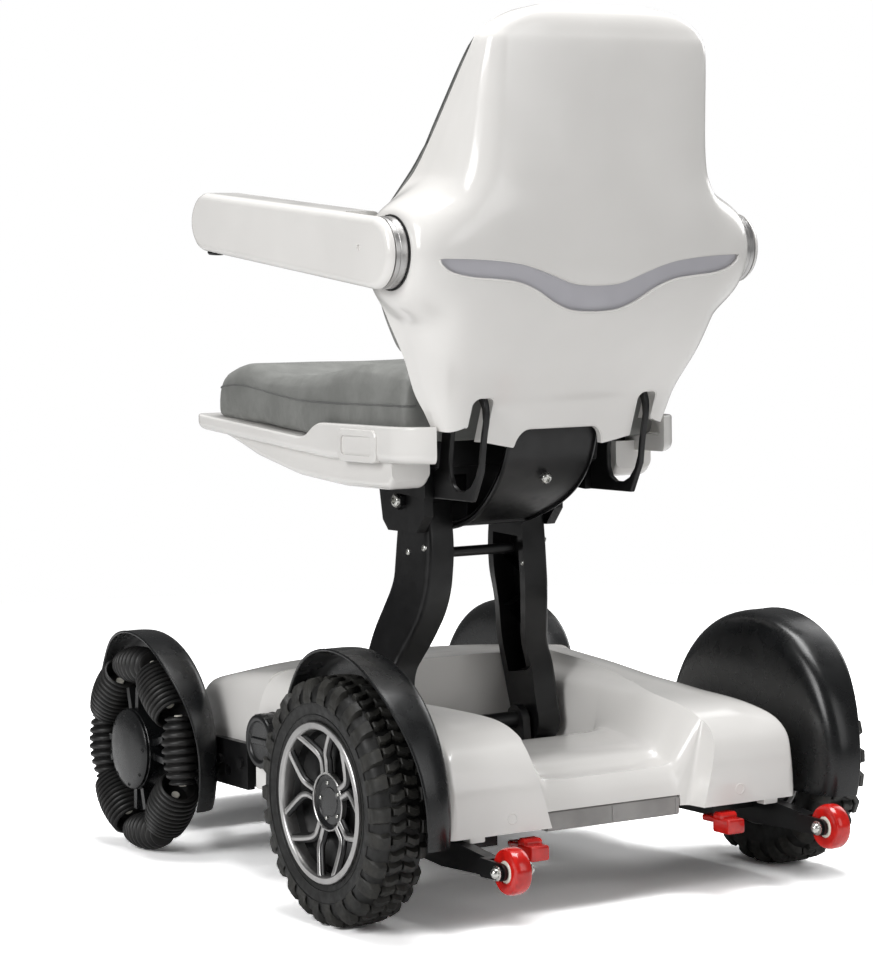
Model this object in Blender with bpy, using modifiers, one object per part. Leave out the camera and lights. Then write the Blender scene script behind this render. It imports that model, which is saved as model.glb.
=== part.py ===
"""Folding power wheelchair, modelled part by part around its real joints.

Run it in Blender 4.5. Lengths are metres and +Z is up. The front of the chair faces -Y
and the user's left is +X. The origin is on the ground below the middle of the chair.
"forward" in the names below is a distance ahead of the rear axle.
"""

import math

import bmesh
import bpy
from mathutils import Matrix, Vector

# General
GAP = 0.0003
RUNNING_GAP = 0.0008
COVER_WALL = 0.003

# Rear wheels
WHEEL_CENTRE_X = 0.293
REAR_WHEEL_RADIUS = 0.135
TYRE_WIDTH = 0.066
RIM_RADIUS = 0.0875
RIM_WIDTH = 0.064
REAR_AXLE_RADIUS = 0.010
REAR_FENDER_CLEARANCE = 0.0260
REAR_FENDER_LIP_X = 0.306
REAR_FENDER_INNER_X = 0.2465
FENDER_START_DEG = 22.0
REAR_FENDER_END_DEG = 184.0
FRONT_FENDER_END_DEG = 197.0
FENDER_LIP_BOW = 0.022

# Front omnidirectional wheels
FRONT_WHEEL_X = 0.273
WHEELBASE = 0.528
FRONT_WHEEL_RADIUS = 0.125
LARGE_ROLLER_RADIUS = 0.0295
LARGE_ROLLER_HALF_LENGTH = 0.0345
SMALL_ROLLER_RADIUS = 0.023
SMALL_ROLLER_HALF_LENGTH = 0.041
ROLLER_CUP_DEPTH = 0.016
ROLLER_WALL = 0.004
ROLLERS_OF_EACH_KIND = 4
FIRST_LARGE_ROLLER_DEG = 40.0
FRONT_HUB_RADIUS = 0.050
FRONT_HUB_WIDTH = 0.042
FRONT_AXLE_RADIUS = 0.008
ROLLER_ARM_WIDTH = 0.008
ROLLER_ARM_DEPTH = 0.020
ROLLER_ARM_SPREAD_DEG = 10.0
FRONT_FENDER_CLEARANCE = 0.0170
FRONT_FENDER_LIP_X = 0.290
FRONT_FENDER_INNER_X = 0.2355

# Body covers
BODY_HALF_WIDTH = 0.2345
BODY_REAR = -0.117
BODY_SEAM = 0.3085
BODY_FRONT = 0.545
BODY_BOTTOM = 0.100
BODY_CROWN = 0.210
BODY_CENTRE_TOP = 0.239
BODY_CROWN_RISE = 0.026
POCKET_REAR = -0.088
POCKET_FRONT = 0.272
POCKET_FLOOR = 0.161
POCKET_FLOOR_FRONT = 0.126
POCKET_REAR_HALF_WIDTH = 0.090
POCKET_FRONT_HALF_WIDTH = 0.1225
STEP_RAIL_TOP = 0.1425
STEP_RAIL_BOTTOM = 0.112

# Batteries, one each side, whose round ends show in the body's sides
BATTERY_RADIUS = 0.032
BATTERY_FORWARD = 0.273
BATTERY_HEIGHT = 0.161
BATTERY_OUTER_X = 0.250
BATTERY_INNER_X = 0.136
BATTERY_CAP_THICKNESS = 0.012

# Folding legs
LEG_FOOT_FORWARD = 0.213
LEG_FOOT_HEIGHT = 0.1645
LEG_HEAD_FORWARD = 0.1955
LEG_HEAD_HEIGHT = 0.4375
LEG_THICKNESS = 0.035
LEG_WIDTH = 0.078
LEG_FOOT_WIDTH = 0.056
LEG_HEAD_WIDTH = 0.060
LEG_HEAD_X = 0.065
LEG_FOOT_X = 0.100
LEG_BOW = 0.022
LEG_FLANGE = 0.011
LEG_WEB = 0.010
FOOT_SHAFT_RADIUS = 0.010
HEAD_SHAFT_RADIUS = 0.008
CROSS_ROD_RADIUS = 0.006
CROSS_ROD_FORWARD = 0.1834
CROSS_ROD_HEIGHT = 0.3742

# Seat
SEAT_PLATE_BOTTOM = 0.471
SEAT_PLATE_THICKNESS = 0.0177
SEAT_PLATE_HALF_WIDTH = 0.125
SEAT_PLATE_REAR = 0.100
SEAT_PLATE_FRONT = 0.340
SEAT_TRAY_THICKNESS = 0.0190
TRAY_BEND = 0.215
TRAY_RISE = 0.075
SEAT_HALF_WIDTH = 0.187
SEAT_REAR_CORNER = 0.050
SEAT_FRONT_CORNER = 0.022
SEAT_GAP_HALF_WIDTH = 0.1535
SEAT_REAR = 0.018
SEAT_FRONT = 0.543
SEAT_SIDE_TOP = 0.5303
SEAT_SIDE_WALL = 0.0085
SEAT_BELLY_BOTTOM = 0.458
CUSHION_REAR = 0.056
CUSHION_FRONT = 0.512
CUSHION_HALF_WIDTH = 0.1775
CUSHION_SEAM_HEIGHT = 0.5455
CUSHION_TOP = 0.5975

# Backrest
BACK_HINGE_FORWARD = 0.0522
BACK_HINGE_HEIGHT = 0.628
BACK_HINGE_PIN_RADIUS = 0.006
SIDE_BRACKET_X = 0.110
SIDE_BRACKET_WIDTH = 0.018
BACK_SLOT_WIDTH = 0.028
BACK_SLOT_TOP = 0.5675
SHELL_WALL = 0.0035
BACK_CUSHION_BOTTOM = 0.607
BACK_CUSHION_THICKNESS = 0.045

# Armrests
ARM_PIVOT_FORWARD = -0.004
ARM_PIVOT_HEIGHT = 0.7215
ARM_RING_RADIUS = 0.0395
ARM_RING_X = 0.2222
ARM_RING_THICKNESS = 0.0165
ARM_CAP_THICKNESS = 0.008
ARM_THICKNESS = 0.055
ARM_BODY_START = 0.074
ARM_TIP_RADIUS = 0.0345
ARM_REACH = 0.427
ARM_TILT_DEG = 5.5
ARM_SHAFT_RADIUS = 0.012
JOYSTICK_REAR = 0.300
JOYSTICK_FRONT = 0.400
JOYSTICK_HEIGHT = 0.030

# Footrest
FOOTREST_HINGE_FORWARD = 0.562
FOOTREST_HINGE_HEIGHT = 0.118
FOOTREST_FRONT = 0.790
FOOTREST_HALF_WIDTH = 0.165
FOOTREST_THICKNESS = 0.014
FOOTREST_TOP = 0.096
FOOTREST_PIN_RADIUS = 0.004

# Anti-tip wheels and freewheel levers
TIP_WHEEL_X = 0.210
TIP_WHEEL_FORWARD = -0.2045
TIP_WHEEL_HEIGHT = 0.080
TIP_WHEEL_RADIUS = 0.025
TIP_WHEEL_WIDTH = 0.020
LEVER_X = 0.1305
LEVER_PIVOT_FORWARD = -0.090
LEVER_LENGTH = 0.048
LEVER_WIDTH = 0.024
LEVER_HEIGHT = 0.083

# The origin is midway between the anti-tip wheels' back and the footrest's front
REAR_AXLE_Y = (FOOTREST_FRONT + TIP_WHEEL_FORWARD - TIP_WHEEL_RADIUS) / 2

# Colours as red, green and blue, then roughness and metallic value
COLOURS = {
    "white_shell": ((0.78, 0.77, 0.75), 0.18, 0.0),
    "black_plastic": ((0.012, 0.012, 0.013), 0.42, 0.0),
    "black_frame": ((0.010, 0.010, 0.010), 0.38, 0.0),
    "tyre_rubber": ((0.014, 0.014, 0.013), 0.78, 0.0),
    "roller_rubber": ((0.022, 0.021, 0.019), 0.70, 0.0),
    "silver_alloy": ((0.50, 0.50, 0.50), 0.30, 1.0),
    "grey_leatherette": ((0.165, 0.165, 0.158), 0.55, 0.0),
    "grey_plastic": ((0.20, 0.20, 0.20), 0.45, 0.0),
    "panel_grey": ((0.40, 0.39, 0.43), 0.40, 0.0),
    "red_urethane": ((0.60, 0.016, 0.014), 0.25, 0.0),
}

for old in list(bpy.data.objects):
    bpy.data.objects.remove(old, do_unlink=True)

PARTS = bpy.data.collections.new("folding_power_wheelchair")
CUTTERS = bpy.data.collections.new("cutters")
bpy.context.scene.collection.children.link(PARTS)
bpy.context.scene.collection.children.link(CUTTERS)
CUTTERS.hide_render = True


def y_at(forward):
    """World Y of a distance ahead of the rear axle."""
    return REAR_AXLE_Y - forward


def material(name):
    """The material of that name, made once."""
    found = bpy.data.materials.get(name)
    if found:
        return found
    colour, roughness, metallic = COLOURS[name]
    made = bpy.data.materials.new(name)
    made.use_nodes = True
    shader = made.node_tree.nodes["Principled BSDF"]
    shader.inputs["Base Color"].default_value = (*colour, 1.0)
    shader.inputs["Roughness"].default_value = roughness
    shader.inputs["Metallic"].default_value = metallic
    made.diffuse_color = (*colour, 1.0)
    return made


def part(obj, name, finish):
    """Makes obj a finished part of the chair."""
    obj.name = name
    obj.data.name = name
    obj.data.materials.clear()
    obj.data.materials.append(material(finish))
    CUTTERS.objects.unlink(obj)
    PARTS.objects.link(obj)
    obj.hide_render = False
    obj.display_type = "TEXTURED"
    return obj


def tool(mesh, name="tool", matrix=None):
    """A new object in the cutters' collection, which part() moves out if it is a part."""
    obj = bpy.data.objects.new(name, mesh)
    CUTTERS.objects.link(obj)
    obj.hide_render = True
    obj.display_type = "WIRE"
    if matrix is not None:
        obj.matrix_world = matrix
    return obj


def from_bmesh(bm, name="tool", matrix=None, flip_out=True):
    """An object of a bmesh, with its faces pointing out."""
    if flip_out:
        bmesh.ops.recalc_face_normals(bm, faces=bm.faces)
    mesh = bpy.data.meshes.new(name)
    bm.to_mesh(mesh)
    bm.free()
    return tool(mesh, name, matrix)


def box(low, high, bevel=0.0, segments=2):
    """A box between two corners, given as x, forward, z, with rounded edges."""
    bm = bmesh.new()
    centre = [(a + b) / 2 for a, b in zip(low, high)]
    size = [abs(b - a) for a, b in zip(low, high)]
    bmesh.ops.create_cube(bm, size=1.0, matrix=Matrix.Diagonal((*size, 1.0)))
    if bevel:
        bmesh.ops.bevel(bm, geom=bm.edges[:], offset=bevel, segments=segments, profile=0.5, affect="EDGES")
    return from_bmesh(bm, matrix=Matrix.Translation((centre[0], y_at(centre[1]), centre[2])))


def rod(radius, start, end, sides=20):
    """A cylinder between two points, given as x, forward, z."""
    a = Vector((start[0], y_at(start[1]), start[2]))
    b = Vector((end[0], y_at(end[1]), end[2]))
    bm = bmesh.new()
    bmesh.ops.create_cone(
        bm, cap_ends=True, segments=sides, radius1=radius, radius2=radius, depth=(b - a).length
    )
    turn = (b - a).to_track_quat("Z", "Y").to_matrix().to_4x4()
    return from_bmesh(bm, matrix=Matrix.Translation((a + b) / 2) @ turn)


def side_plate(outline, x_low, x_high, bevel=0.0):
    """A flat outline of (forward, z) points, as thick as the distance between two x values."""
    curve = bpy.data.curves.new("outline", "CURVE")
    curve.dimensions = "2D"
    curve.fill_mode = "BOTH"
    curve.extrude = abs(x_high - x_low) / 2
    spline = curve.splines.new("POLY")
    spline.points.add(len(outline) - 1)
    for point, (forward, z) in zip(spline.points, outline):
        point.co = (y_at(forward), z, 0.0, 1.0)
    spline.use_cyclic_u = True
    curve_object = tool(curve, "outline")
    bpy.context.view_layer.update()
    mesh = bpy.data.meshes.new_from_object(curve_object.evaluated_get(bpy.context.evaluated_depsgraph_get()))
    bpy.data.objects.remove(curve_object)
    bm = bmesh.new()
    bm.from_mesh(mesh)
    bmesh.ops.remove_doubles(bm, verts=bm.verts, dist=1e-6)
    bmesh.ops.dissolve_limit(bm, angle_limit=0.01, verts=bm.verts, edges=bm.edges)
    if bevel:
        rim = [e for e in bm.edges if len({round(v.co.z, 6) for v in e.verts}) == 1]
        bmesh.ops.bevel(bm, geom=rim, offset=bevel, segments=2, profile=0.5, affect="EDGES")
    axes = Matrix(((0, 0, 1, (x_low + x_high) / 2), (1, 0, 0, 0), (0, 1, 0, 0), (0, 0, 0, 1)))
    return from_bmesh(bm, matrix=axes)


def stadium(start, end, radius_start, radius_end, steps=8):
    """The outline round two circles in the side view, as (forward, z) points."""
    (f0, z0), (f1, z1) = start, end
    along = math.atan2(z1 - z0, f1 - f0)
    lean = math.asin((radius_start - radius_end) / math.hypot(f1 - f0, z1 - z0))
    points = []
    for i in range(steps + 1):
        turn = along - math.pi / 2 + lean + (math.pi - 2 * lean) * i / steps
        points.append((f1 + radius_end * math.cos(turn), z1 + radius_end * math.sin(turn)))
    for i in range(steps + 1):
        turn = along + math.pi / 2 - lean + (math.pi + 2 * lean) * i / steps
        points.append((f0 + radius_start * math.cos(turn), z0 + radius_start * math.sin(turn)))
    return points


def turned(profile, centre, side=1, closed=False, steps=40, name="tool"):
    """A profile of (radius, distance out from the centre) turned round a sideways axle."""
    points = [(r, h * side) for r, h in profile]
    if side < 0:
        points.reverse()
    mesh = bpy.data.meshes.new(name)
    edges = [(i, i + 1) for i in range(len(points) - 1)]
    if closed:
        edges.append((len(points) - 1, 0))
    mesh.from_pydata([(r, 0.0, h) for r, h in points], edges, [])
    place = Matrix.Translation((centre[0], y_at(centre[1]), centre[2]))
    obj = tool(mesh, name, place @ Matrix.Rotation(math.pi / 2, 4, "Y"))
    screw = obj.modifiers.new("Turn", "SCREW")
    screw.axis = "Z"
    screw.steps = steps
    screw.render_steps = steps
    screw.use_smooth_shade = True
    screw.use_merge_vertices = True
    screw.merge_threshold = 1e-5
    return obj


def combine(obj, other, operation):
    """Adds a Boolean modifier."""
    step = obj.modifiers.new(operation.title(), "BOOLEAN")
    step.object = other
    step.operation = operation
    step.solver = "EXACT"
    return obj


def fuse(pieces):
    """One body from pieces that overlap."""
    for piece in pieces[1:]:
        combine(pieces[0], piece, "UNION")
    return pieces[0]


def cut(obj, cutters):
    """Takes the cutters out of obj."""
    for cutter in cutters:
        combine(obj, cutter, "DIFFERENCE")
    return obj


def set_origin(obj, x, forward, z):
    """Moves the origin of an object, not its shape, to a point on a joint's axis."""
    point = Vector((x, y_at(forward), z))
    local = obj.matrix_world.inverted() @ point
    obj.data.transform(Matrix.Translation(-local))
    obj.matrix_world = obj.matrix_world @ Matrix.Translation(local)
    return obj


def loft(rings):
    """A closed solid through closed rings of points, each (x, forward, z)."""
    bm = bmesh.new()
    rows = [[bm.verts.new((x, y_at(f), z)) for x, f, z in ring] for ring in rings]
    count = len(rows[0])
    for lower, upper in zip(rows, rows[1:]):
        for i in range(count):
            j = (i + 1) % count
            bm.faces.new((lower[i], lower[j], upper[j], upper[i]))
    bm.faces.new(rows[0])
    bm.faces.new(rows[-1])
    bmesh.ops.recalc_face_normals(bm, faces=bm.faces)
    bmesh.ops.triangulate(bm, faces=bm.faces)
    return from_bmesh(bm)


def sheet(rows, wall, mirror=True, outward=(0.0, 0.0, 1.0)):
    """A thin wall along an open grid of (x, forward, z) points, doubled across the middle."""
    bm = bmesh.new()
    grid = [[bm.verts.new((x, y_at(f), z)) for x, f, z in row] for row in rows]
    for near, far in zip(grid, grid[1:]):
        for i in range(len(near) - 1):
            bm.faces.new((near[i], near[i + 1], far[i + 1], far[i]))
    bmesh.ops.remove_doubles(bm, verts=bm.verts, dist=1e-6)
    bm.normal_update()
    facing = sum((f.normal * f.calc_area() for f in bm.faces), Vector())
    if facing.dot(Vector(outward)) < 0:
        bmesh.ops.reverse_faces(bm, faces=bm.faces)
    obj = from_bmesh(bm, flip_out=False)
    if mirror:
        half = obj.modifiers.new("Other half", "MIRROR")
        half.use_clip = True
        half.merge_threshold = 1e-4
    solid = obj.modifiers.new("Wall", "SOLIDIFY")
    solid.thickness = wall
    solid.offset = -1.0
    solid.use_even_offset = True
    return obj


def pillow(corners, rows=6, columns=6):
    """A cushion: a cage over a grid, smoothed once. corners(u, v, level) gives x, forward, z,
    with u and v from -1 to 1 and level 0 below, 1 at the seam and 2 on top."""
    bm = bmesh.new()
    grid = {}
    for level in (0, 1, 2):
        for i in range(rows + 1):
            for j in range(columns + 1):
                if level == 1 and 0 < i < rows and 0 < j < columns:
                    continue
                x, f, z = corners(2 * i / rows - 1, 2 * j / columns - 1, level)
                grid[level, i, j] = bm.verts.new((x, y_at(f), z))
    for level in (0, 2):
        for i in range(rows):
            for j in range(columns):
                bm.faces.new([grid[level, *k] for k in ((i, j), (i + 1, j), (i + 1, j + 1), (i, j + 1))])
    rim = [(i, 0) for i in range(rows)] + [(rows, j) for j in range(columns)]
    rim += [(i, columns) for i in range(rows, 0, -1)] + [(0, j) for j in range(columns, 0, -1)]
    for level in (0, 1):
        for a, b in zip(rim, rim[1:] + rim[:1]):
            bm.faces.new((grid[level, *a], grid[level, *b], grid[level + 1, *b], grid[level + 1, *a]))
    obj = from_bmesh(bm)
    smooth = obj.modifiers.new("Soft", "SUBSURF")
    smooth.levels = 1
    smooth.render_levels = 1
    return obj


def between(value, table):
    """Straight-line reading of a table of (position, value) pairs."""
    if value <= table[0][0]:
        return table[0][1]
    for (a, low), (b, high) in zip(table, table[1:]):
        if value <= b:
            return low + (high - low) * (value - a) / (b - a)
    return table[-1][1]


def side_name(side):
    return "left" if side > 0 else "right"


# Wheels

def make_rear_wheel(side):
    """The hub motor's alloy wheel and its knobby tyre."""
    centre = (side * WHEEL_CENTRE_X, 0.0, REAR_WHEEL_RADIUS)
    half = RIM_WIDTH / 2
    bore = REAR_AXLE_RADIUS + RUNNING_GAP
    rim = turned(
        [
            (0.0, 0.019), (0.026, 0.019), (0.030, 0.014), (0.060, 0.012), (RIM_RADIUS - 0.009, half - 0.008),
            (RIM_RADIUS - 0.006, half), (RIM_RADIUS, half), (RIM_RADIUS, -half),
            (RIM_RADIUS - 0.008, -half), (0.066, -0.024), (bore, -0.024), (bore, -0.004), (0.0, -0.004),
        ],
        centre, side, steps=20,
    )
    part(rim, f"rear_wheel_rim_{side_name(side)}", "silver_alloy")
    bead = RIM_RADIUS + GAP
    radius = REAR_WHEEL_RADIUS
    edge = TYRE_WIDTH / 2
    tyre = turned(
        [
            (bead, half - 0.004), (bead + 0.014, edge - 0.003), (radius - 0.014, edge),
            (radius - 0.004, edge - 0.007), (radius, edge - 0.020), (radius, -edge + 0.020),
            (radius - 0.004, -edge + 0.007), (radius - 0.014, -edge), (bead + 0.014, -edge + 0.003),
            (bead, -half + 0.004),
        ],
        centre, side, closed=True, steps=20,
    )
    part(tyre, f"rear_tyre_{side_name(side)}", "tyre_rubber")


def make_fender(side, forward, axle_height, inner_radius, lip_x, wall_x, end_deg, name):
    """A wheel cover: a band over the tyre that turns into a domed wall inboard of the wheel."""
    outer = inner_radius + COVER_WALL
    skin = [(outer, 0.0210), (outer - 0.004, 0.0095), (outer - 0.014, 0.0025), (outer - 0.030, 0.0), (0.022, 0.0)]
    inside = [
        (0.022, COVER_WALL), (outer - 0.031, COVER_WALL), (outer - 0.0155, 0.0055), (outer - 0.0065, 0.0120),
        (inner_radius, 0.0220),
    ]
    bow = FENDER_LIP_BOW
    lip_back = [(22, bow), (45, 0.75 * bow), (68, 0.2 * bow), (90, 0.0), (130, 0.0), (150, 0.45 * bow), (167, 0.8 * bow), (197, bow)]
    rings = []
    for angle in (-40, 0, 22, 36, 50, 64, 78, 92, 106, 120, 134, 148, 162, 180, 197, 224, 250):
        turn = math.radians(angle)
        out = lip_x - wall_x - between(angle, lip_back)
        rings.append([
            (side * (wall_x + x), forward + r * math.cos(turn), axle_height + r * math.sin(turn))
            for r, x in [(outer, out)] + skin + inside + [(inner_radius, out)]
        ])
    fender = loft(rings)
    reach = 3 * outer
    angles = (FENDER_START_DEG, -30.0, -90.0, -130.0, end_deg)
    below = [(forward, axle_height - 0.034)]
    below += [
        (forward + reach * math.cos(math.radians(a)), axle_height + reach * math.sin(math.radians(a)))
        for a in angles
    ]
    cutter = side_plate(below, side * 0.20, side * 0.36)
    cut(fender, [cutter])
    part(fender, name, "black_plastic")


def roller_profile(radius, half_length, cup):
    """A barrel whose side follows the wheel's circle, with a cup in each end if asked."""
    centre = FRONT_WHEEL_RADIUS - radius
    stations = [half_length * s for s in (1.0, 0.6, 0.2, -0.2, -0.6, -1.0)]
    side = [(math.sqrt(FRONT_WHEEL_RADIUS**2 - s * s) - centre, s) for s in stations]
    mouth = side[0][0] - ROLLER_WALL
    floor = half_length - ROLLER_CUP_DEPTH
    if not cup:
        return [(0.0, half_length)] + side + [(0.0, -half_length)]
    top = [(0.0, floor), (mouth - 0.006, floor), (mouth, half_length)]
    bottom = [(mouth, -half_length), (mouth - 0.006, -floor), (0.0, -floor)]
    return top + side + bottom


def make_front_wheel(side):
    """A hub with arms, and eight free barrels set round it in two sizes."""
    centre = (side * FRONT_WHEEL_X, WHEELBASE, FRONT_WHEEL_RADIUS)
    half = FRONT_HUB_WIDTH / 2
    bore = FRONT_AXLE_RADIUS + RUNNING_GAP
    hub = turned(
        [
            (0.0, half), (FRONT_HUB_RADIUS - 0.006, half), (FRONT_HUB_RADIUS, half - 0.006),
            (FRONT_HUB_RADIUS, -half + 0.006), (FRONT_HUB_RADIUS - 0.006, -half), (bore, -half),
            (bore, half - 0.016), (0.0, half - 0.016),
        ],
        centre, side, steps=20,
    )
    step = 360.0 / ROLLERS_OF_EACH_KIND
    small_centre = FRONT_WHEEL_RADIUS - SMALL_ROLLER_RADIUS
    arm_tip = small_centre - SMALL_ROLLER_RADIUS - 0.0035
    arms = []
    for k in range(ROLLERS_OF_EACH_KIND):
        small_at = FIRST_LARGE_ROLLER_DEG + step * (k + 0.5)
        for lean in (-ROLLER_ARM_SPREAD_DEG, ROLLER_ARM_SPREAD_DEG):
            arms.append(make_arm(centre, small_at + lean, FRONT_HUB_RADIUS - 0.006, arm_tip))
    fuse([hub] + arms)
    part(hub, f"front_wheel_hub_{side_name(side)}", "black_plastic")
    for k in range(ROLLERS_OF_EACH_KIND):
        for kind, radius, length, turn in (
            ("large", LARGE_ROLLER_RADIUS, LARGE_ROLLER_HALF_LENGTH, 0.0),
            ("small", SMALL_ROLLER_RADIUS, SMALL_ROLLER_HALF_LENGTH, 0.5),
        ):
            angle = math.radians(FIRST_LARGE_ROLLER_DEG + step * (k + turn))
            reach = FRONT_WHEEL_RADIUS - radius
            place = (centre[0], WHEELBASE + reach * math.cos(angle), centre[2] + reach * math.sin(angle))
            roller = turned(roller_profile(radius, length, kind == "large"), (0, 0, 0), steps=8)
            tangent = Vector((0.0, math.sin(angle), math.cos(angle)))
            face = tangent.to_track_quat("Z", "Y").to_matrix().to_4x4()
            roller.matrix_world = Matrix.Translation((place[0], y_at(place[1]), place[2])) @ face
            part(roller, f"{kind}_roller_{side_name(side)}_{k + 1}", "roller_rubber")


def make_arm(centre, angle_deg, start, end):
    """A radial arm of a front hub, at an angle up from straight ahead."""
    angle = math.radians(angle_deg)
    bm = bmesh.new()
    size = (ROLLER_ARM_DEPTH, ROLLER_ARM_WIDTH, end - start)
    bmesh.ops.create_cube(bm, size=1.0, matrix=Matrix.Diagonal((*size, 1.0)))
    middle = (start + end) / 2
    out = Vector((0.0, -math.cos(angle), math.sin(angle)))
    turn = out.to_track_quat("Z", "Y").to_matrix().to_4x4()
    place = Vector((centre[0], y_at(centre[1]), centre[2])) + out * middle
    return from_bmesh(bm, matrix=Matrix.Translation(place) @ turn)


# Chassis

def make_chassis():
    """The welded frame: two rails, cross members, axle stubs and the lugs for the legs."""
    rails = [box((s * 0.145, -0.075, 0.080), (s * 0.175, 0.508, 0.112)) for s in (1, -1)]
    rear_tube = box((-0.236, -0.018, 0.117), (0.236, 0.018, 0.1500))
    rear_posts = [box((s * 0.150, -0.016, 0.100), (s * 0.172, 0.016, 0.130)) for s in (1, -1)]
    middle_member = box((-0.170, LEG_FOOT_FORWARD - 0.025, 0.082), (0.170, LEG_FOOT_FORWARD + 0.025, 0.110))
    front_tube = box((-0.222, 0.345, 0.098), (0.222, 0.381, 0.134))
    nose_member = box((-0.160, 0.478, 0.084), (0.160, 0.508, 0.110))
    lug_outline = stadium(
        (LEG_FOOT_FORWARD, 0.100), (LEG_FOOT_FORWARD, LEG_FOOT_HEIGHT), 0.024, 0.018, 5
    )
    lugs = [side_plate(lug_outline, s * 0.0665, s * 0.0765) for s in (1, -1)]
    shaft_end = LEG_FOOT_X + LEG_THICKNESS / 2 + 0.001
    shaft = rod(
        FOOT_SHAFT_RADIUS,
        (-shaft_end, LEG_FOOT_FORWARD, LEG_FOOT_HEIGHT), (shaft_end, LEG_FOOT_FORWARD, LEG_FOOT_HEIGHT),
    )
    axle_end = WHEEL_CENTRE_X - 0.005
    axles = [
        rod(REAR_AXLE_RADIUS, (s * 0.220, 0.0, REAR_WHEEL_RADIUS), (s * axle_end, 0.0, REAR_WHEEL_RADIUS), 12)
        for s in (1, -1)
    ]
    arm_mounts = [box((s * 0.170, -0.072, 0.084), (s * 0.2025, -0.030, 0.096)) for s in (1, -1)]
    hinge_lugs = [
        box((s * 0.1455, 0.500, 0.0850), (s * 0.1575, FOOTREST_HINGE_FORWARD + 0.004, 0.109))
        for s in (1, -1)
    ]
    hinge_ends = [
        side_plate(
            stadium(
                (FOOTREST_HINGE_FORWARD - 0.012, 0.100),
                (FOOTREST_HINGE_FORWARD, FOOTREST_HINGE_HEIGHT), 0.012, 0.010, 4,
            ),
            s * 0.1455, s * 0.1575,
        )
        for s in (1, -1)
    ]
    frame = fuse(
        rails[:1] + [rear_tube] + rails[1:] + rear_posts + [middle_member, front_tube, nose_member]
        + lugs + [shaft] + axles + arm_mounts + hinge_lugs + hinge_ends
    )
    footrest_hinge = (FOOTREST_HINGE_FORWARD, FOOTREST_HINGE_HEIGHT)
    eyes = [
        rod(FOOTREST_PIN_RADIUS + RUNNING_GAP, (s * 0.13, *footrest_hinge), (s * 0.17, *footrest_hinge), 12)
        for s in (1, -1)
    ]
    cut(frame, eyes)
    part(frame, "chassis_frame", "black_frame")


def pocket_ring(forward, low, grow):
    """A cross-section of the open pocket that the legs fold into."""
    half = grow + between(
        forward,
        [(POCKET_REAR, POCKET_REAR_HALF_WIDTH), (0.0, 0.097), (0.120, POCKET_FRONT_HALF_WIDTH)],
    )
    flare = between(forward, [(BODY_REAR, 0.044), (-0.070, 0.028), (-0.030, 0.018), (0.120, 0.010)])
    right = [
        (half - 0.010, low - grow), (half, low - grow + 0.008), (half + flare - 0.004, BODY_CROWN - 0.012),
        (half + flare + 0.006, BODY_CROWN + 0.004), (half + flare + 0.020, BODY_CROWN + 0.060),
    ]
    return [(x, forward, z) for x, z in right] + [(-x, forward, z) for x, z in reversed(right)]


def pocket(grow):
    """The pocket as a solid to cut away, made larger all round by grow."""
    below = BODY_BOTTOM - 0.050
    stations = [
        (BODY_REAR - 0.020, below), (-0.100, below), (POCKET_REAR - 0.0005 + grow, below),
        (POCKET_REAR + grow, STEP_RAIL_TOP), (-0.054, STEP_RAIL_TOP + 0.002), (-0.038, POCKET_FLOOR),
        (0.030, POCKET_FLOOR), (0.120 + grow, POCKET_FLOOR), (0.136 + grow, POCKET_FLOOR_FRONT),
        (POCKET_FRONT + grow, POCKET_FLOOR_FRONT),
    ]
    return loft([pocket_ring(forward, low, grow) for forward, low in stations])


def body_ring(forward, cap, crown, half, wall):
    """A cross-section of the rear cover's outside, or of its inside when wall isn't 0."""
    side = half - wall
    top = crown - wall
    middle = between(forward, [(0.10, top), (0.20, BODY_CENTRE_TOP - wall)])
    right = [
        (side, BODY_BOTTOM - 10 * wall), (side - 0.0025, top - 0.062), (side - 0.009, top - 0.034),
        (side - 0.024, top - 0.011), (side - 0.050, top - 0.001), (0.150, top + 0.2 * (middle - top)),
        (0.080, middle),
    ]
    capped = [(x, forward, min(z, cap - wall)) for x, z in right]
    return capped + [(-x, f, z) for x, f, z in reversed(capped)]


def body_solid(wall):
    """The rear cover's outside as a solid, or the hollow inside it, a wall smaller."""
    half = BODY_HALF_WIDTH
    rear = BODY_REAR + wall
    stations = [
        (rear, 0.128, BODY_CROWN, half - 0.010), (rear + 0.001, 0.151, BODY_CROWN, half - 0.007),
        (rear + 0.008, 0.174, BODY_CROWN, half - 0.002), (rear + 0.022, 0.190, BODY_CROWN, half),
        (rear + 0.046, 0.201, BODY_CROWN, half), (rear + 0.078, 1.0, BODY_CROWN, half),
        (0.120, 1.0, BODY_CROWN + 0.4 * BODY_CROWN_RISE, half), (0.200, 1.0, BODY_CROWN + 0.7 * BODY_CROWN_RISE, half),
        (BODY_SEAM - GAP + 5 * wall, 1.0, BODY_CROWN + BODY_CROWN_RISE, half),
    ]
    return loft([body_ring(*station, wall) for station in stations])


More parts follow.
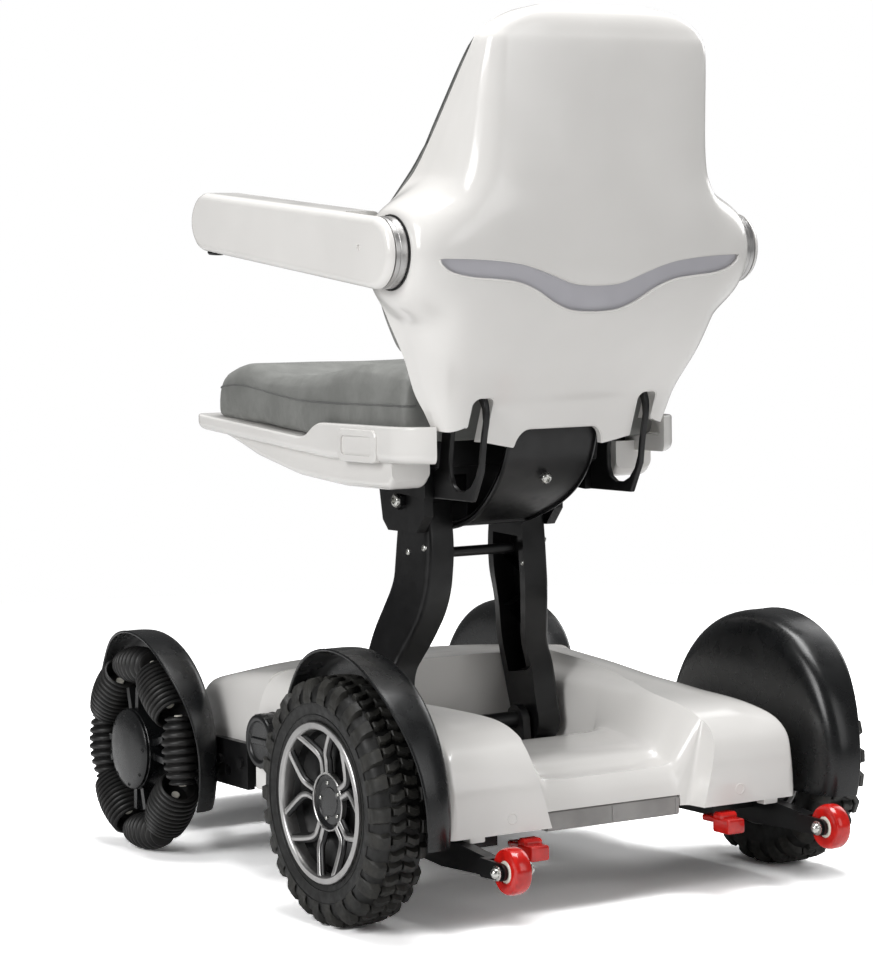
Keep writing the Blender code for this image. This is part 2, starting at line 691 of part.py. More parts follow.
def make_rear_cover():
    """The white rear cover, with the open pocket in its middle that the legs fold into."""
    cover = body_solid(0.0)
    hollow = combine(body_solid(COVER_WALL), pocket(COVER_WALL), "DIFFERENCE")
    leg_slots = [box((s * 0.063, 0.150, 0.08), (s * 0.1195, POCKET_FRONT - 0.0065, 0.145)) for s in (1, -1)]
    rail_clearance = box((-0.0895, POCKET_REAR - 0.01, 0.05), (0.0895, -0.036, STEP_RAIL_BOTTOM))
    battery_holes = [
        rod(
            BATTERY_RADIUS + 0.0008,
            (s * 0.20, BATTERY_FORWARD, BATTERY_HEIGHT), (s * 0.28, BATTERY_FORWARD, BATTERY_HEIGHT), sides=20,
        )
        for s in (1, -1)
    ]
    axle_holes = [box((s * 0.20, -0.022, 0.05), (s * 0.26, 0.022, 0.1535)) for s in (1, -1)]
    cut(cover, [pocket(0.0), hollow, rail_clearance] + leg_slots + battery_holes + axle_holes)
    part(cover, "rear_body_cover", "white_shell")


def make_front_cover():
    """The low white cover between the front wheels, down to a rounded nose."""
    stations = [
        (BODY_SEAM + GAP, BODY_CENTRE_TOP, 0.2370, 0.222, 0.1405), (0.400, 0.235, 0.2275, 0.218, 0.1405),
        (0.450, 0.228, 0.2185, 0.214, 0.1405), (BODY_FRONT - 0.050, 0.216, 0.208, 0.206, 0.1405),
        (BODY_FRONT - 0.022, 0.196, 0.190, 0.192, 0.1405), (BODY_FRONT - 0.006, 0.168, 0.163, 0.172, 0.1405),
        (BODY_FRONT, 0.1405, 0.1405, 0.152, 0.1405),
    ]
    rows = []
    for forward, middle, crown, half, bottom in stations:
        span = crown - bottom
        rows.append([
            (0.0, forward, middle), (0.5 * half, forward, middle - 0.001), (0.84 * half, forward, crown),
            (0.950 * half, forward, crown - 0.05 * span), (0.992 * half, forward, crown - 0.32 * span),
            (half, forward, bottom),
        ])
    cover = sheet(rows, COVER_WALL)
    part(cover, "front_body_cover", "white_shell")


def make_rear_step():
    """The ribbed grey plate below the cover's rear rail."""
    plate = box((-0.0885, -0.0865, 0.0900), (0.0885, -0.0400, STEP_RAIL_BOTTOM - 0.0045), 0.002, 1)
    ribs = [box((x - 0.0015, -0.0885, 0.0915), (x + 0.0015, -0.080, 0.1050)) for x in (-0.045, 0.0, 0.045)]
    part(fuse([plate] + ribs), "rear_step_plate", "grey_plastic")


def make_battery(side):
    """A lithium pack that slides in from the side, with a wider cap outside."""
    pack = turned(
        [
            (0.0, 0.0), (BATTERY_RADIUS - 0.004, 0.0), (BATTERY_RADIUS, -0.004),
            (BATTERY_RADIUS, -(BATTERY_OUTER_X - BATTERY_INNER_X)),
            (0.0, -(BATTERY_OUTER_X - BATTERY_INNER_X)),
        ],
        (side * BATTERY_OUTER_X, BATTERY_FORWARD, BATTERY_HEIGHT), side, steps=20,
    )
    part(pack, f"battery_{side_name(side)}", "black_plastic")


def make_controller():
    """The motor controller, a finned box inside the front cover."""
    case = box((-0.075, 0.385, 0.1240), (0.075, 0.4750, 0.1520), 0.003, 1)
    fins = [box((x - 0.0015, 0.390, 0.150), (x + 0.0015, 0.470, 0.1600)) for x in (-0.05, -0.025, 0.0, 0.025, 0.05)]
    part(fuse([case] + fins), "motor_controller", "grey_plastic")


def make_front_bracket(side):
    """The plate that carries a front wheel's axle, bolted to the end of the front tube."""
    outline = [
        (0.334, 0.094), (0.412, 0.094), (0.440, 0.104), (WHEELBASE + 0.010, 0.110), (WHEELBASE + 0.016, 0.125),
        (WHEELBASE + 0.010, 0.140), (0.460, 0.146), (0.412, 0.149), (0.334, 0.149),
    ]
    plate = side_plate(outline, side * 0.2225, side * 0.2320)
    relief = rod(0.007, (side * 0.215, 0.384, 0.112), (side * 0.25, 0.384, 0.112), 12)
    axle = rod(
        FRONT_AXLE_RADIUS,
        (side * 0.225, WHEELBASE, FRONT_WHEEL_RADIUS),
        (side * (FRONT_WHEEL_X + FRONT_HUB_WIDTH / 2 - 0.018), WHEELBASE, FRONT_WHEEL_RADIUS),
    )
    bolts = [rod(0.006, (side * 0.230, f, 0.124), (side * 0.2360, f, 0.124), 6) for f in (0.348, 0.400)]
    fuse([plate, axle] + bolts)
    cut(plate, [relief])
    part(plate, f"front_wheel_bracket_{side_name(side)}", "black_frame")


def make_anti_tip(side):
    """A tapered arm ending in a fork, and the small wheel between its cheeks."""
    x = side * TIP_WHEEL_X
    fork_in = TIP_WHEEL_WIDTH / 2 + 0.001
    fork_out = fork_in + 0.004
    root = TIP_WHEEL_FORWARD + TIP_WHEEL_RADIUS + 0.004
    arm = side_plate(
        [
            (root, TIP_WHEEL_HEIGHT - 0.010), (-0.075, 0.066), (-0.026, 0.070), (-0.026, 0.0955),
            (-0.110, 0.0955), (root, TIP_WHEEL_HEIGHT + 0.008),
        ],
        x - 0.007, x + 0.007,
    )
    yoke = box((x - fork_out, root - 0.002, TIP_WHEEL_HEIGHT - 0.010), (x + fork_out, root + 0.010, TIP_WHEEL_HEIGHT + 0.010))
    outline = stadium((root + 0.006, TIP_WHEEL_HEIGHT), (TIP_WHEEL_FORWARD, TIP_WHEEL_HEIGHT), 0.010, 0.009, 6)
    cheeks = [side_plate(outline, x + s * fork_in, x + s * fork_out) for s in (1, -1)]
    nuts = [
        rod(0.006, (x + s * (fork_out - 0.001), TIP_WHEEL_FORWARD, TIP_WHEEL_HEIGHT),
            (x + s * (fork_out + 0.006), TIP_WHEEL_FORWARD, TIP_WHEEL_HEIGHT), 6)
        for s in (1, -1)
    ]
    pin = rod(
        0.004, (x - fork_out, TIP_WHEEL_FORWARD, TIP_WHEEL_HEIGHT), (x + fork_out, TIP_WHEEL_FORWARD, TIP_WHEEL_HEIGHT), 12
    )
    part(fuse([arm, yoke] + cheeks + [pin] + nuts), f"anti_tip_arm_{side_name(side)}", "black_frame")
    half = TIP_WHEEL_WIDTH / 2
    bore = 0.004 + RUNNING_GAP
    radius = TIP_WHEEL_RADIUS
    wheel = turned(
        [
            (bore, half), (radius - 0.004, half), (radius, half - 0.005), (radius, -half + 0.005),
            (radius - 0.004, -half), (bore, -half),
        ],
        (x, TIP_WHEEL_FORWARD, TIP_WHEEL_HEIGHT), 1, closed=True, steps=16,
    )
    part(wheel, f"anti_tip_wheel_{side_name(side)}", "red_urethane")


def make_lever(side):
    """The red lever that lets a rear wheel run free."""
    x = side * LEVER_X
    z = LEVER_HEIGHT
    tip = LEVER_PIVOT_FORWARD - LEVER_LENGTH
    bar = box((x - 0.007, tip + 0.028, z - 0.004), (x + 0.007, LEVER_PIVOT_FORWARD + 0.008, z + 0.003), 0.0015, 1)
    half = LEVER_WIDTH / 2
    paddle = box((x - half, tip, z - 0.013), (x + half, tip + 0.030, z + 0.004), 0.003, 2)
    step = box((x - half, tip + 0.012, z + 0.001), (x + half, tip + 0.030, z + 0.010), 0.003, 1)
    lever = fuse([paddle, step, bar])
    set_origin(lever, x, LEVER_PIVOT_FORWARD, z)
    part(lever, f"freewheel_lever_{side_name(side)}", "red_urethane")


# Legs

def leg_line(count):
    """Points up a leg's middle line: x, forward, z and half its width there."""
    foot = Vector((LEG_FOOT_FORWARD, LEG_FOOT_HEIGHT))
    head = Vector((LEG_HEAD_FORWARD, LEG_HEAD_HEIGHT))
    span = head - foot
    ahead = Vector((span.y, -span.x)).normalized()
    points = []
    for i in range(count + 1):
        t = i / count
        bow = LEG_BOW * between(t, [(0.0, 0.0), (0.12, 0.6), (0.25, 1.0), (0.36, 0.9), (0.46, 0.4), (0.60, -0.1), (1.0, 0.0)])
        place = foot + span * t + ahead * bow
        x = between(t, [(0.0, LEG_FOOT_X), (0.22, LEG_FOOT_X), (0.60, LEG_HEAD_X + 0.004), (0.78, LEG_HEAD_X)])
        half = between(t, [(0.0, LEG_FOOT_WIDTH), (0.32, 0.85 * LEG_WIDTH), (0.60, LEG_WIDTH), (0.80, LEG_WIDTH), (1.0, LEG_HEAD_WIDTH)]) / 2
        points.append((x, place.x, place.y, half))
    return points


def make_leg(side):
    """A curved leg: smooth outside, hollow on its inner face, with an eye at each end."""
    line = leg_line(8)
    rings = []
    recess = []
    for i, (x, forward, z, half) in enumerate(line):
        before = line[max(i - 1, 0)]
        after = line[min(i + 1, len(line) - 1)]
        along = Vector((after[1] - before[1], after[2] - before[2])).normalized()
        ahead = Vector((along.y, -along.x))
        inner = x - LEG_THICKNESS / 2
        outer = x + LEG_THICKNESS / 2
        soft = 0.006

        def at(across, sideways):
            return (side * sideways, forward + ahead.x * across, z + ahead.y * across)

        rings.append([
            at(-half, inner), at(half, inner), at(half, outer - soft), at(half - soft, outer),
            at(-half + soft, outer), at(-half, outer - soft),
        ])
        if 2 <= i <= len(line) - 3:
            web = half - LEG_FLANGE
            recess.append([
                at(-web, inner - 0.01), at(web, inner - 0.01), at(web, outer - LEG_WEB), at(-web, outer - LEG_WEB),
            ])
    leg = loft(rings)
    foot = (LEG_FOOT_FORWARD, LEG_FOOT_HEIGHT)
    head = (LEG_HEAD_FORWARD, LEG_HEAD_HEIGHT)
    ends = []
    for (forward, z), x, width in ((foot, LEG_FOOT_X, LEG_FOOT_WIDTH), (head, LEG_HEAD_X, LEG_HEAD_WIDTH)):
        inner = x - LEG_THICKNESS / 2
        outer = x + LEG_THICKNESS / 2
        ends.append(rod(width / 2, (side * inner, forward, z), (side * outer, forward, z), 20))
    fuse([leg] + ends)
    holes = [
        rod(FOOT_SHAFT_RADIUS + RUNNING_GAP, (side * 0.06, *foot), (side * 0.14, *foot), 16),
        rod(HEAD_SHAFT_RADIUS + RUNNING_GAP, (side * 0.02, *head), (side * 0.12, *head), 16),
    ]
    cut(leg, [loft(recess)] + holes)
    set_origin(leg, side * LEG_FOOT_X, *foot)
    part(leg, f"leg_{side_name(side)}", "black_frame")


def make_cross_rod():
    """The rod that ties the two legs together below their heads."""
    half = LEG_HEAD_X - LEG_THICKNESS / 2 - GAP
    cross = rod(
        CROSS_ROD_RADIUS, (-half, CROSS_ROD_FORWARD, CROSS_ROD_HEIGHT), (half, CROSS_ROD_FORWARD, CROSS_ROD_HEIGHT), 16
    )
    part(cross, "leg_cross_rod", "black_frame")


# Seat

def make_seat_frame():
    """The steel plate below the tray, with the cheeks that hold the heads of the legs."""
    top = SEAT_PLATE_BOTTOM + SEAT_PLATE_THICKNESS
    plate = box((-SEAT_PLATE_HALF_WIDTH, SEAT_PLATE_REAR, SEAT_PLATE_BOTTOM), (SEAT_PLATE_HALF_WIDTH, SEAT_PLATE_FRONT, top))
    inner = LEG_HEAD_X + LEG_THICKNESS / 2 + 0.001
    head = (LEG_HEAD_FORWARD, LEG_HEAD_HEIGHT)
    root = SEAT_PLATE_BOTTOM + 0.008
    outline = [
        (head[0] - 0.050, root), (head[0] - 0.050, head[1] - 0.0165), (head[0] - 0.032, head[1] - 0.0365),
        (head[0] + 0.032, head[1] - 0.0365), (head[0] + 0.044, head[1] - 0.0245), (head[0] + 0.056, root),
    ]
    cheeks = [side_plate(outline, s * inner, s * (inner + 0.012)) for s in (1, -1)]
    shaft = rod(HEAD_SHAFT_RADIUS, (-inner - 0.011, *head), (inner + 0.011, *head))
    bolts = [rod(0.011, (s * (inner + 0.010), *head), (s * (inner + 0.019), *head), 6) for s in (1, -1)]
    rear = SEAT_PLATE_REAR
    low = SEAT_PLATE_BOTTOM
    outline = [(rear, low + 0.005), (rear, low - 0.026), (rear + 0.090, low - 0.020), (rear + 0.140, low + 0.005)]
    gussets = [side_plate(outline, s * 0.0965, s * 0.1220) for s in (1, -1)]
    part(fuse([plate] + cheeks + [shaft] + bolts + gussets), "seat_frame", "black_frame")


def make_side_bracket(side):
    """A looped bracket from the seat frame, whose head holds the backrest's hinge."""
    hinge = (BACK_HINGE_FORWARD, BACK_HINGE_HEIGHT)
    foot = SEAT_PLATE_REAR - GAP
    seat = SEAT_PLATE_BOTTOM

    def near_hinge(points):
        return [(hinge[0] + forward, hinge[1] + z) for forward, z in points]

    outline = near_hinge([(-0.0327, -0.183)]) + [(foot, seat - 0.026), (foot, seat + 0.005)]
    outline += near_hinge([(0.0363, -0.147), (0.0293, -0.114), (0.0185, -0.059)])
    head_turns = 8
    for i in range(head_turns + 1):
        turn = math.radians(-8.0 + 196.0 * i / head_turns)
        outline.append((hinge[0] + 0.0155 * math.cos(turn), hinge[1] + 0.0155 * math.sin(turn)))
    outline += near_hinge([
        (-0.0227, -0.0305), (-0.0420, -0.0400), (-0.0600, -0.0640), (-0.0660, -0.0850), (-0.0572, -0.114),
        (-0.0516, -0.149),
    ])
    window = near_hinge([
        (-0.0427, -0.147), (-0.0247, -0.1695), (0.0013, -0.1695), (0.0083, -0.149), (0.0001, -0.099),
        (-0.0153, -0.070), (-0.0450, -0.0720), (-0.0530, -0.0850), (-0.0482, -0.114),
    ])
    low = side * (SIDE_BRACKET_X - SIDE_BRACKET_WIDTH / 2)
    high = side * (SIDE_BRACKET_X + SIDE_BRACKET_WIDTH / 2)
    bracket = side_plate(outline, low, high)
    opening = side_plate(window, low - side * 0.01, high + side * 0.01)
    eye = rod(BACK_HINGE_PIN_RADIUS + RUNNING_GAP, (side * 0.08, *hinge), (side * 0.14, *hinge), 12)
    cut(bracket, [opening, eye])
    part(bracket, f"side_bracket_{side_name(side)}", "black_frame")


def make_back_bracket():
    """The curved plate in the middle, from the seat frame up to the backrest's notch."""
    path = [
        (0.0195, 0.5357, 0.060), (0.0225, 0.514, 0.060), (0.0345, 0.484, 0.060), (0.056, 0.4573, 0.059),
        (0.0855, 0.436, 0.055), (0.1225, 0.4192, 0.048), (0.158, 0.409, 0.0455), (0.190, 0.404, 0.0455),
    ]
    rings = []
    for i, (forward, z, half) in enumerate(path):
        before = path[max(i - 1, 0)]
        after = path[min(i + 1, len(path) - 1)]
        along = Vector((after[0] - before[0], after[1] - before[1])).normalized()
        up = Vector((-along.y, along.x)) * 0.0045
        rings.append([
            (-half, forward - up.x, z - up.y), (half, forward - up.x, z - up.y),
            (half, forward + up.x, z + up.y), (-half, forward + up.x, z + up.y),
        ])
    plate = loft(rings)
    lip = rod(0.0085, (-0.058, 0.0217, 0.5337), (0.058, 0.0217, 0.5337), 16)
    post = box((-0.040, 0.142, 0.408), (0.040, 0.184, SEAT_PLATE_BOTTOM - GAP))
    screw = rod(0.006, (0.0, 0.0315, 0.4615), (0.0, 0.0515, 0.4715), 12)
    part(fuse([plate, lip, post, screw]), "back_bracket", "black_frame")


def tray_top(forward):
    """Height of the tray's top, level at the back and rising to the front."""
    level = SEAT_PLATE_BOTTOM + SEAT_PLATE_THICKNESS + GAP + SEAT_TRAY_THICKNESS
    return level + TRAY_RISE * max(0.0, forward - TRAY_BEND)


def tray_half(forward):
    """Half the tray's width, which draws in at its round corners."""
    for end, corner, sign in ((SEAT_REAR, SEAT_REAR_CORNER, 1), (SEAT_FRONT, SEAT_FRONT_CORNER, -1)):
        into = corner - sign * (forward - end)
        if into > 0.0:
            return SEAT_HALF_WIDTH - corner + math.sqrt(max(corner**2 - into**2, 0.0))
    return SEAT_HALF_WIDTH


def tray_edge_top(forward):
    """Height of the tray's rim: raised sides at the back that run out into the slab."""
    return between(forward, [
        (TRAY_BEND + 0.012, SEAT_SIDE_TOP), (TRAY_BEND + 0.026, SEAT_SIDE_TOP - 0.0045),
        (TRAY_BEND + 0.046, tray_top(TRAY_BEND + 0.046) + 0.0025), (TRAY_BEND + 0.060, tray_top(TRAY_BEND + 0.060)),
        (SEAT_FRONT, tray_top(SEAT_FRONT)),
    ])


def tray_row(forward):
    """A cross-section of the tray with rounded lower and upper edges."""
    half = tray_half(forward)
    top = tray_edge_top(forward)
    low = tray_top(forward) - SEAT_TRAY_THICKNESS
    nose = max(0.0, 1.0 - (SEAT_FRONT - forward) / 0.010)
    middle = (top + low) / 2
    top, low = top + nose * 0.7 * (middle - top), low + nose * 0.7 * (middle - low)
    right = [(half - 0.012, low), (half - 0.003, low + 0.0035), (half, low + 0.010), (half, top - 0.002), (half - 0.002, top)]
    left = [(-x, z) for x, z in reversed(right)]
    return [(x, forward, z) for x, z in right + left]


def make_tray():
    """The white seat tray: a slab with raised sides, a low belly each side and side pads."""
    thick = SEAT_TRAY_THICKNESS
    rear = SEAT_REAR
    corner = SEAT_REAR_CORNER
    places = [rear + corner * (1.0 - math.cos(math.radians(a))) for a in (0, 22, 45, 68, 90)]
    places += [TRAY_BEND, TRAY_BEND + 0.012, TRAY_BEND + 0.026, TRAY_BEND + 0.046, TRAY_BEND + 0.060]
    places += [SEAT_FRONT - SEAT_FRONT_CORNER * (1.0 - math.cos(math.radians(a))) for a in (90, 58, 30, 0)]
    tray = loft([tray_row(forward) for forward in places])
    level = tray_top(rear)
    inner = SEAT_HALF_WIDTH - SEAT_SIDE_WALL
    plan = []
    for i in range(6):
        turn = math.radians(90.0 * i / 5)
        plan.append((
            inner - (corner - SEAT_SIDE_WALL) * (1.0 - math.cos(turn)), rear + corner - (corner - SEAT_SIDE_WALL) * math.sin(turn)
        ))
    ahead = TRAY_BEND + 0.002
    plan = [(inner, ahead)] + plan
    plan += [(-x, forward) for x, forward in reversed(plan)]
    well = loft([[(x, forward, z) for x, forward in plan] for z in (level, level + 0.06)])
    slope = [(TRAY_BEND, level), (0.60, tray_top(0.60)), (0.60, level + 0.06), (TRAY_BEND, level + 0.06)]
    well_front = side_plate(slope, -inner, inner)
    bellies = []
    pads = []
    for s in (1, -1):
        belly = [
            (0.080, level - 0.010), (0.080, SEAT_BELLY_BOTTOM + 0.004), (0.086, SEAT_BELLY_BOTTOM),
            (0.186, SEAT_BELLY_BOTTOM), (0.390, SEAT_BELLY_BOTTOM + 0.020), (0.512, tray_top(0.512) - thick + 0.004),
            (0.230, level - 0.010),
        ]
        bellies.append(side_plate(belly, s * (SEAT_PLATE_HALF_WIDTH + 0.002), s * 0.176, bevel=0.006))
        pads.append(box(
            (s * (SEAT_HALF_WIDTH - 0.004), 0.097, 0.4905), (s * (SEAT_HALF_WIDTH + 0.0028), 0.177, 0.5235), 0.002, 1
        ))
    bracket_gap = box((-SEAT_GAP_HALF_WIDTH, rear - 0.02, 0.42), (SEAT_GAP_HALF_WIDTH, SEAT_PLATE_REAR + 0.003, 0.56))
    cut(tray, [well, well_front])
    fuse([tray] + bellies + pads)
    part(cut(tray, [bracket_gap]), "seat_tray", "white_shell")


def make_seat_cushion():
    """A firm cushion with drawn-in sides, a seam round it and a shallow saddle on top."""
    middle = (CUSHION_REAR + CUSHION_FRONT) / 2
    length = (CUSHION_FRONT - CUSHION_REAR) / 2

    def spread(share):
        """Moves the cage's inner lines outwards, which keeps the corners firm."""
        return math.copysign(abs(share) ** 0.5, share)

    def corners(u, v, level):
        u = spread(u)
        v = spread(v)
        edge = max(abs(u), abs(v))
        draw = (0.980, 1.0, 0.955)[level]
        rounding = 1.0 - 0.030 * (abs(u) * abs(v)) ** 4
        x = CUSHION_HALF_WIDTH * u * draw * rounding
        f = middle + length * v * draw * rounding
        rise = tray_top(f) - tray_top(CUSHION_REAR)
        if level == 0:
            return x, f, tray_top(f) + GAP + 0.0002
        if level == 1:
            return x, f, CUSHION_SEAM_HEIGHT + rise
        saddle = 0.014 * (1.0 - u * u) * (1.0 - v * v) + 0.004 * v
        return x, f, CUSHION_TOP - 0.012 * edge**6 - saddle

    cushion = pillow(corners)
    notch_half = SIDE_BRACKET_X + SIDE_BRACKET_WIDTH / 2 + 0.008
    bracket_notch = box((-notch_half, CUSHION_REAR - 0.02, 0.48), (notch_half, BACK_HINGE_FORWARD + 0.034, 0.66))
    part(cut(cushion, [bracket_notch]), "seat_cushion", "grey_leatherette")


# Backrest

SHELL_TABLE = [
    # height, forward of the back's middle, half width, forward of the side's front edge
    (0.5040, 0.0110, 0.1425, 0.0315),
    (0.5430, -0.0035, 0.156, 0.0400),
    (0.5675, -0.0185, 0.164, 0.0495),
    (0.6070, -0.0440, 0.180, 0.0440),
    (0.6465, -0.0635, 0.194, 0.0510),
    (0.6860, -0.0746, 0.209, 0.0530),
    (0.7215, -0.0796, 0.217, 0.0545),
    (0.7550, -0.0835, 0.205, 0.0545),
    (0.7890, -0.0865, 0.179, 0.0465),
    (0.8235, -0.0895, 0.165, 0.0235),
    (0.9270, -0.0963, 0.150, -0.0453),
    (0.9565, -0.0950, 0.139, -0.0570),
    (0.9755, -0.0895, 0.110, -0.0625),
    (0.9850, -0.0787, 0.073, -0.0647),
]
SHELL_ACROSS = [
    # share of the half width, share of the depth from back to front edge
    (0.0, 0.0), (0.38, 0.010), (0.70, 0.040), (0.88, 0.130), (0.97, 0.35), (1.0, 0.70), (1.0, 1.0),
]


def shell_row(height, back, half, front, inset=0.0):
    """A cross-section of the backrest's outer skin, or of one that lies inset inside it."""
    depth = front - back - inset
    return [((half - inset) * a, back + inset + depth * b, height) for a, b in SHELL_ACROSS]


def panel_outline(grow):
    """The wing-shaped recess across the back, as (x, z) points."""
    half = [
        (0.0, 0.683), (0.032, 0.686), (0.062, 0.696), (0.106, 0.7085), (0.194, 0.7147),
        (0.181, 0.6975), (0.160, 0.6925), (0.103, 0.6860), (0.053, 0.6630), (0.0, 0.6523),
    ]
    tip = 4
    grown = []
    for i, (x, z) in enumerate(half):
        grown.append((x + (0.25 * grow if i == tip else 0.0), z + (grow if i <= tip else -grow)))
    left = grown[1:-1]
    return grown[:1] + left + grown[-1:] + [(-x, z) for x, z in reversed(left)]


def back_prism(outline, forward_low, forward_high):
    """A prism through the backrest from an outline of (x, z) points."""
    bm = bmesh.new()
    near = [bm.verts.new((x, y_at(forward_low), z)) for x, z in outline]
    far = [bm.verts.new((x, y_at(forward_high), z)) for x, z in outline]
    bm.faces.new(near)
    bm.faces.new(far)
    for i in range(len(outline)):
        j = (i + 1) % len(outline)
        bm.faces.new((near[i], near[j], far[j], far[i]))
    return from_bmesh(bm)


def make_shell():
    """The white backrest shell with its hinge lugs, slots, notch and armrest bosses."""
    shell = sheet([shell_row(*row) for row in SHELL_TABLE], SHELL_WALL, outward=(0.0, 1.0, 0.0))
    bosses = [
        turned(
            [(0.0, 0.0), (0.041, 0.0), (0.042, -0.001), (0.042, -0.0235), (0.0, -0.0235)],
            (s * ARM_RING_X - s * GAP, ARM_PIVOT_FORWARD, ARM_PIVOT_HEIGHT), s, steps=20,
        )
        for s in (1, -1)
    ]
    hinge = (BACK_HINGE_FORWARD, BACK_HINGE_HEIGHT)
    bracket_outer = SIDE_BRACKET_X + SIDE_BRACKET_WIDTH / 2
    lugs = []
    pins = []
    for s in (1, -1):
        outline = [(hinge[0] + f, hinge[1] + z) for f, z in ((-0.112, 0.022), (-0.104, -0.020), (-0.008, -0.016))]
        for i in range(7):
            turn = math.radians(-75.0 + 165.0 * i / 6)
            outline.append((hinge[0] + 0.014 * math.cos(turn), hinge[1] + 0.014 * math.sin(turn)))
        outline.append((hinge[0] - 0.028, hinge[1] + 0.022))
        lugs.append(side_plate(outline, s * (bracket_outer + 0.0015), s * (bracket_outer + 0.0105)))
        pins.append(rod(
            BACK_HINGE_PIN_RADIUS, (s * (SIDE_BRACKET_X - 0.008), *hinge), (s * (bracket_outer + 0.005), *hinge), 16
        ))
    fuse([shell] + bosses + lugs + pins)
    slot_half = BACK_SLOT_WIDTH / 2
    slots = [
        box((s * SIDE_BRACKET_X - slot_half, -0.060, 0.480), (s * SIDE_BRACKET_X + slot_half, 0.040, BACK_SLOT_TOP), 0.007, 2)
        for s in (1, -1)
    ]
    notch_half = [(0.0605, 0.490), (0.0600, 0.506), (0.0520, 0.5215), (0.0450, 0.5250)]
    notch = back_prism(notch_half + [(-x, z) for x, z in reversed(notch_half)], -0.05, 0.05)
    lobe = [(0.1200, 0.490), (0.1200, 0.5240), (0.1430, 0.5240), (0.1510, 0.5290), (0.1580, 0.5370), (0.1750, 0.5450), (0.1750, 0.490)]
    lobe_cuts = [back_prism([(s * x, z) for x, z in lobe], -0.05, 0.06) for s in (1, -1)]
    recess = back_prism(panel_outline(0.0), -0.145, -0.025)
    cut(shell, slots + [notch, recess] + lobe_cuts)
    set_origin(shell, 0.0, *hinge)
    part(shell, "backrest_shell", "white_shell")


def make_back_panel():
    """The grey panel that closes the recess from inside, a hand hold across the back."""
    inset = SHELL_WALL + 2 * GAP
    rows = [shell_row(*row, inset=inset) for row in SHELL_TABLE[3:9]]
    panel = sheet(rows, 0.003, outward=(0.0, 1.0, 0.0))
    combine(panel, back_prism(panel_outline(0.006), -0.145, -0.031), "INTERSECT")
    part(panel, "backrest_grip_panel", "panel_grey")


def make_back_cushion():
    """The backrest's cushion, hollowed for the user's back, a little proud of the shell."""
    rows = [row for row in SHELL_TABLE if row[0] > BACK_CUSHION_BOTTOM + 0.02]
    heights = [BACK_CUSHION_BOTTOM, 0.985]

    def at_height(height, column):
        return between(height, [(row[0], row[column]) for row in SHELL_TABLE])

    def corners(u, v, level):
        height = heights[0] + (heights[1] - 0.012 - heights[0]) * (v + 1) / 2
        half = at_height(height, 2) - 0.0115
        front = at_height(height, 3)
        back = at_height(height, 1)
        edge = max(abs(u), abs(v))
        hollow = 0.030 * (1.0 - u * u) * between(height, [(0.6, 1.0), (0.8, 0.8), (0.97, 0.2)])
        x = half * u * (0.93, 0.99, 0.94)[level]
        face = front + 0.010 - hollow
        depth = min(BACK_CUSHION_THICKNESS, front - back - 0.012)
        if level == 2:
            return x, face - 0.006 * edge**4, height
        if level == 1:
            return x, face - 0.012, height
        return x, face - depth + 0.4 * hollow, height

    cushion = pillow(corners)
    notches = []
    for s in (1, -1):
        notches.append(box(
            (s * (SIDE_BRACKET_X - 0.0125), -0.05, 0.55), (s * (SIDE_BRACKET_X + 0.0225), 0.12, BACK_HINGE_HEIGHT + 0.026)
        ))
    cut(cushion, notches)
    part(cushion, "backrest_cushion", "grey_leatherette")


# Armrests

def arm_frame(side):
    """Turns a shape drawn level and ahead of the pivot into the armrest's tilt."""
    pivot = Vector((0.0, y_at(ARM_PIVOT_FORWARD), ARM_PIVOT_HEIGHT))
    turn = Matrix.Rotation(math.radians(-ARM_TILT_DEG), 4, "X")
    return Matrix.Translation(pivot) @ turn @ Matrix.Translation(-pivot)


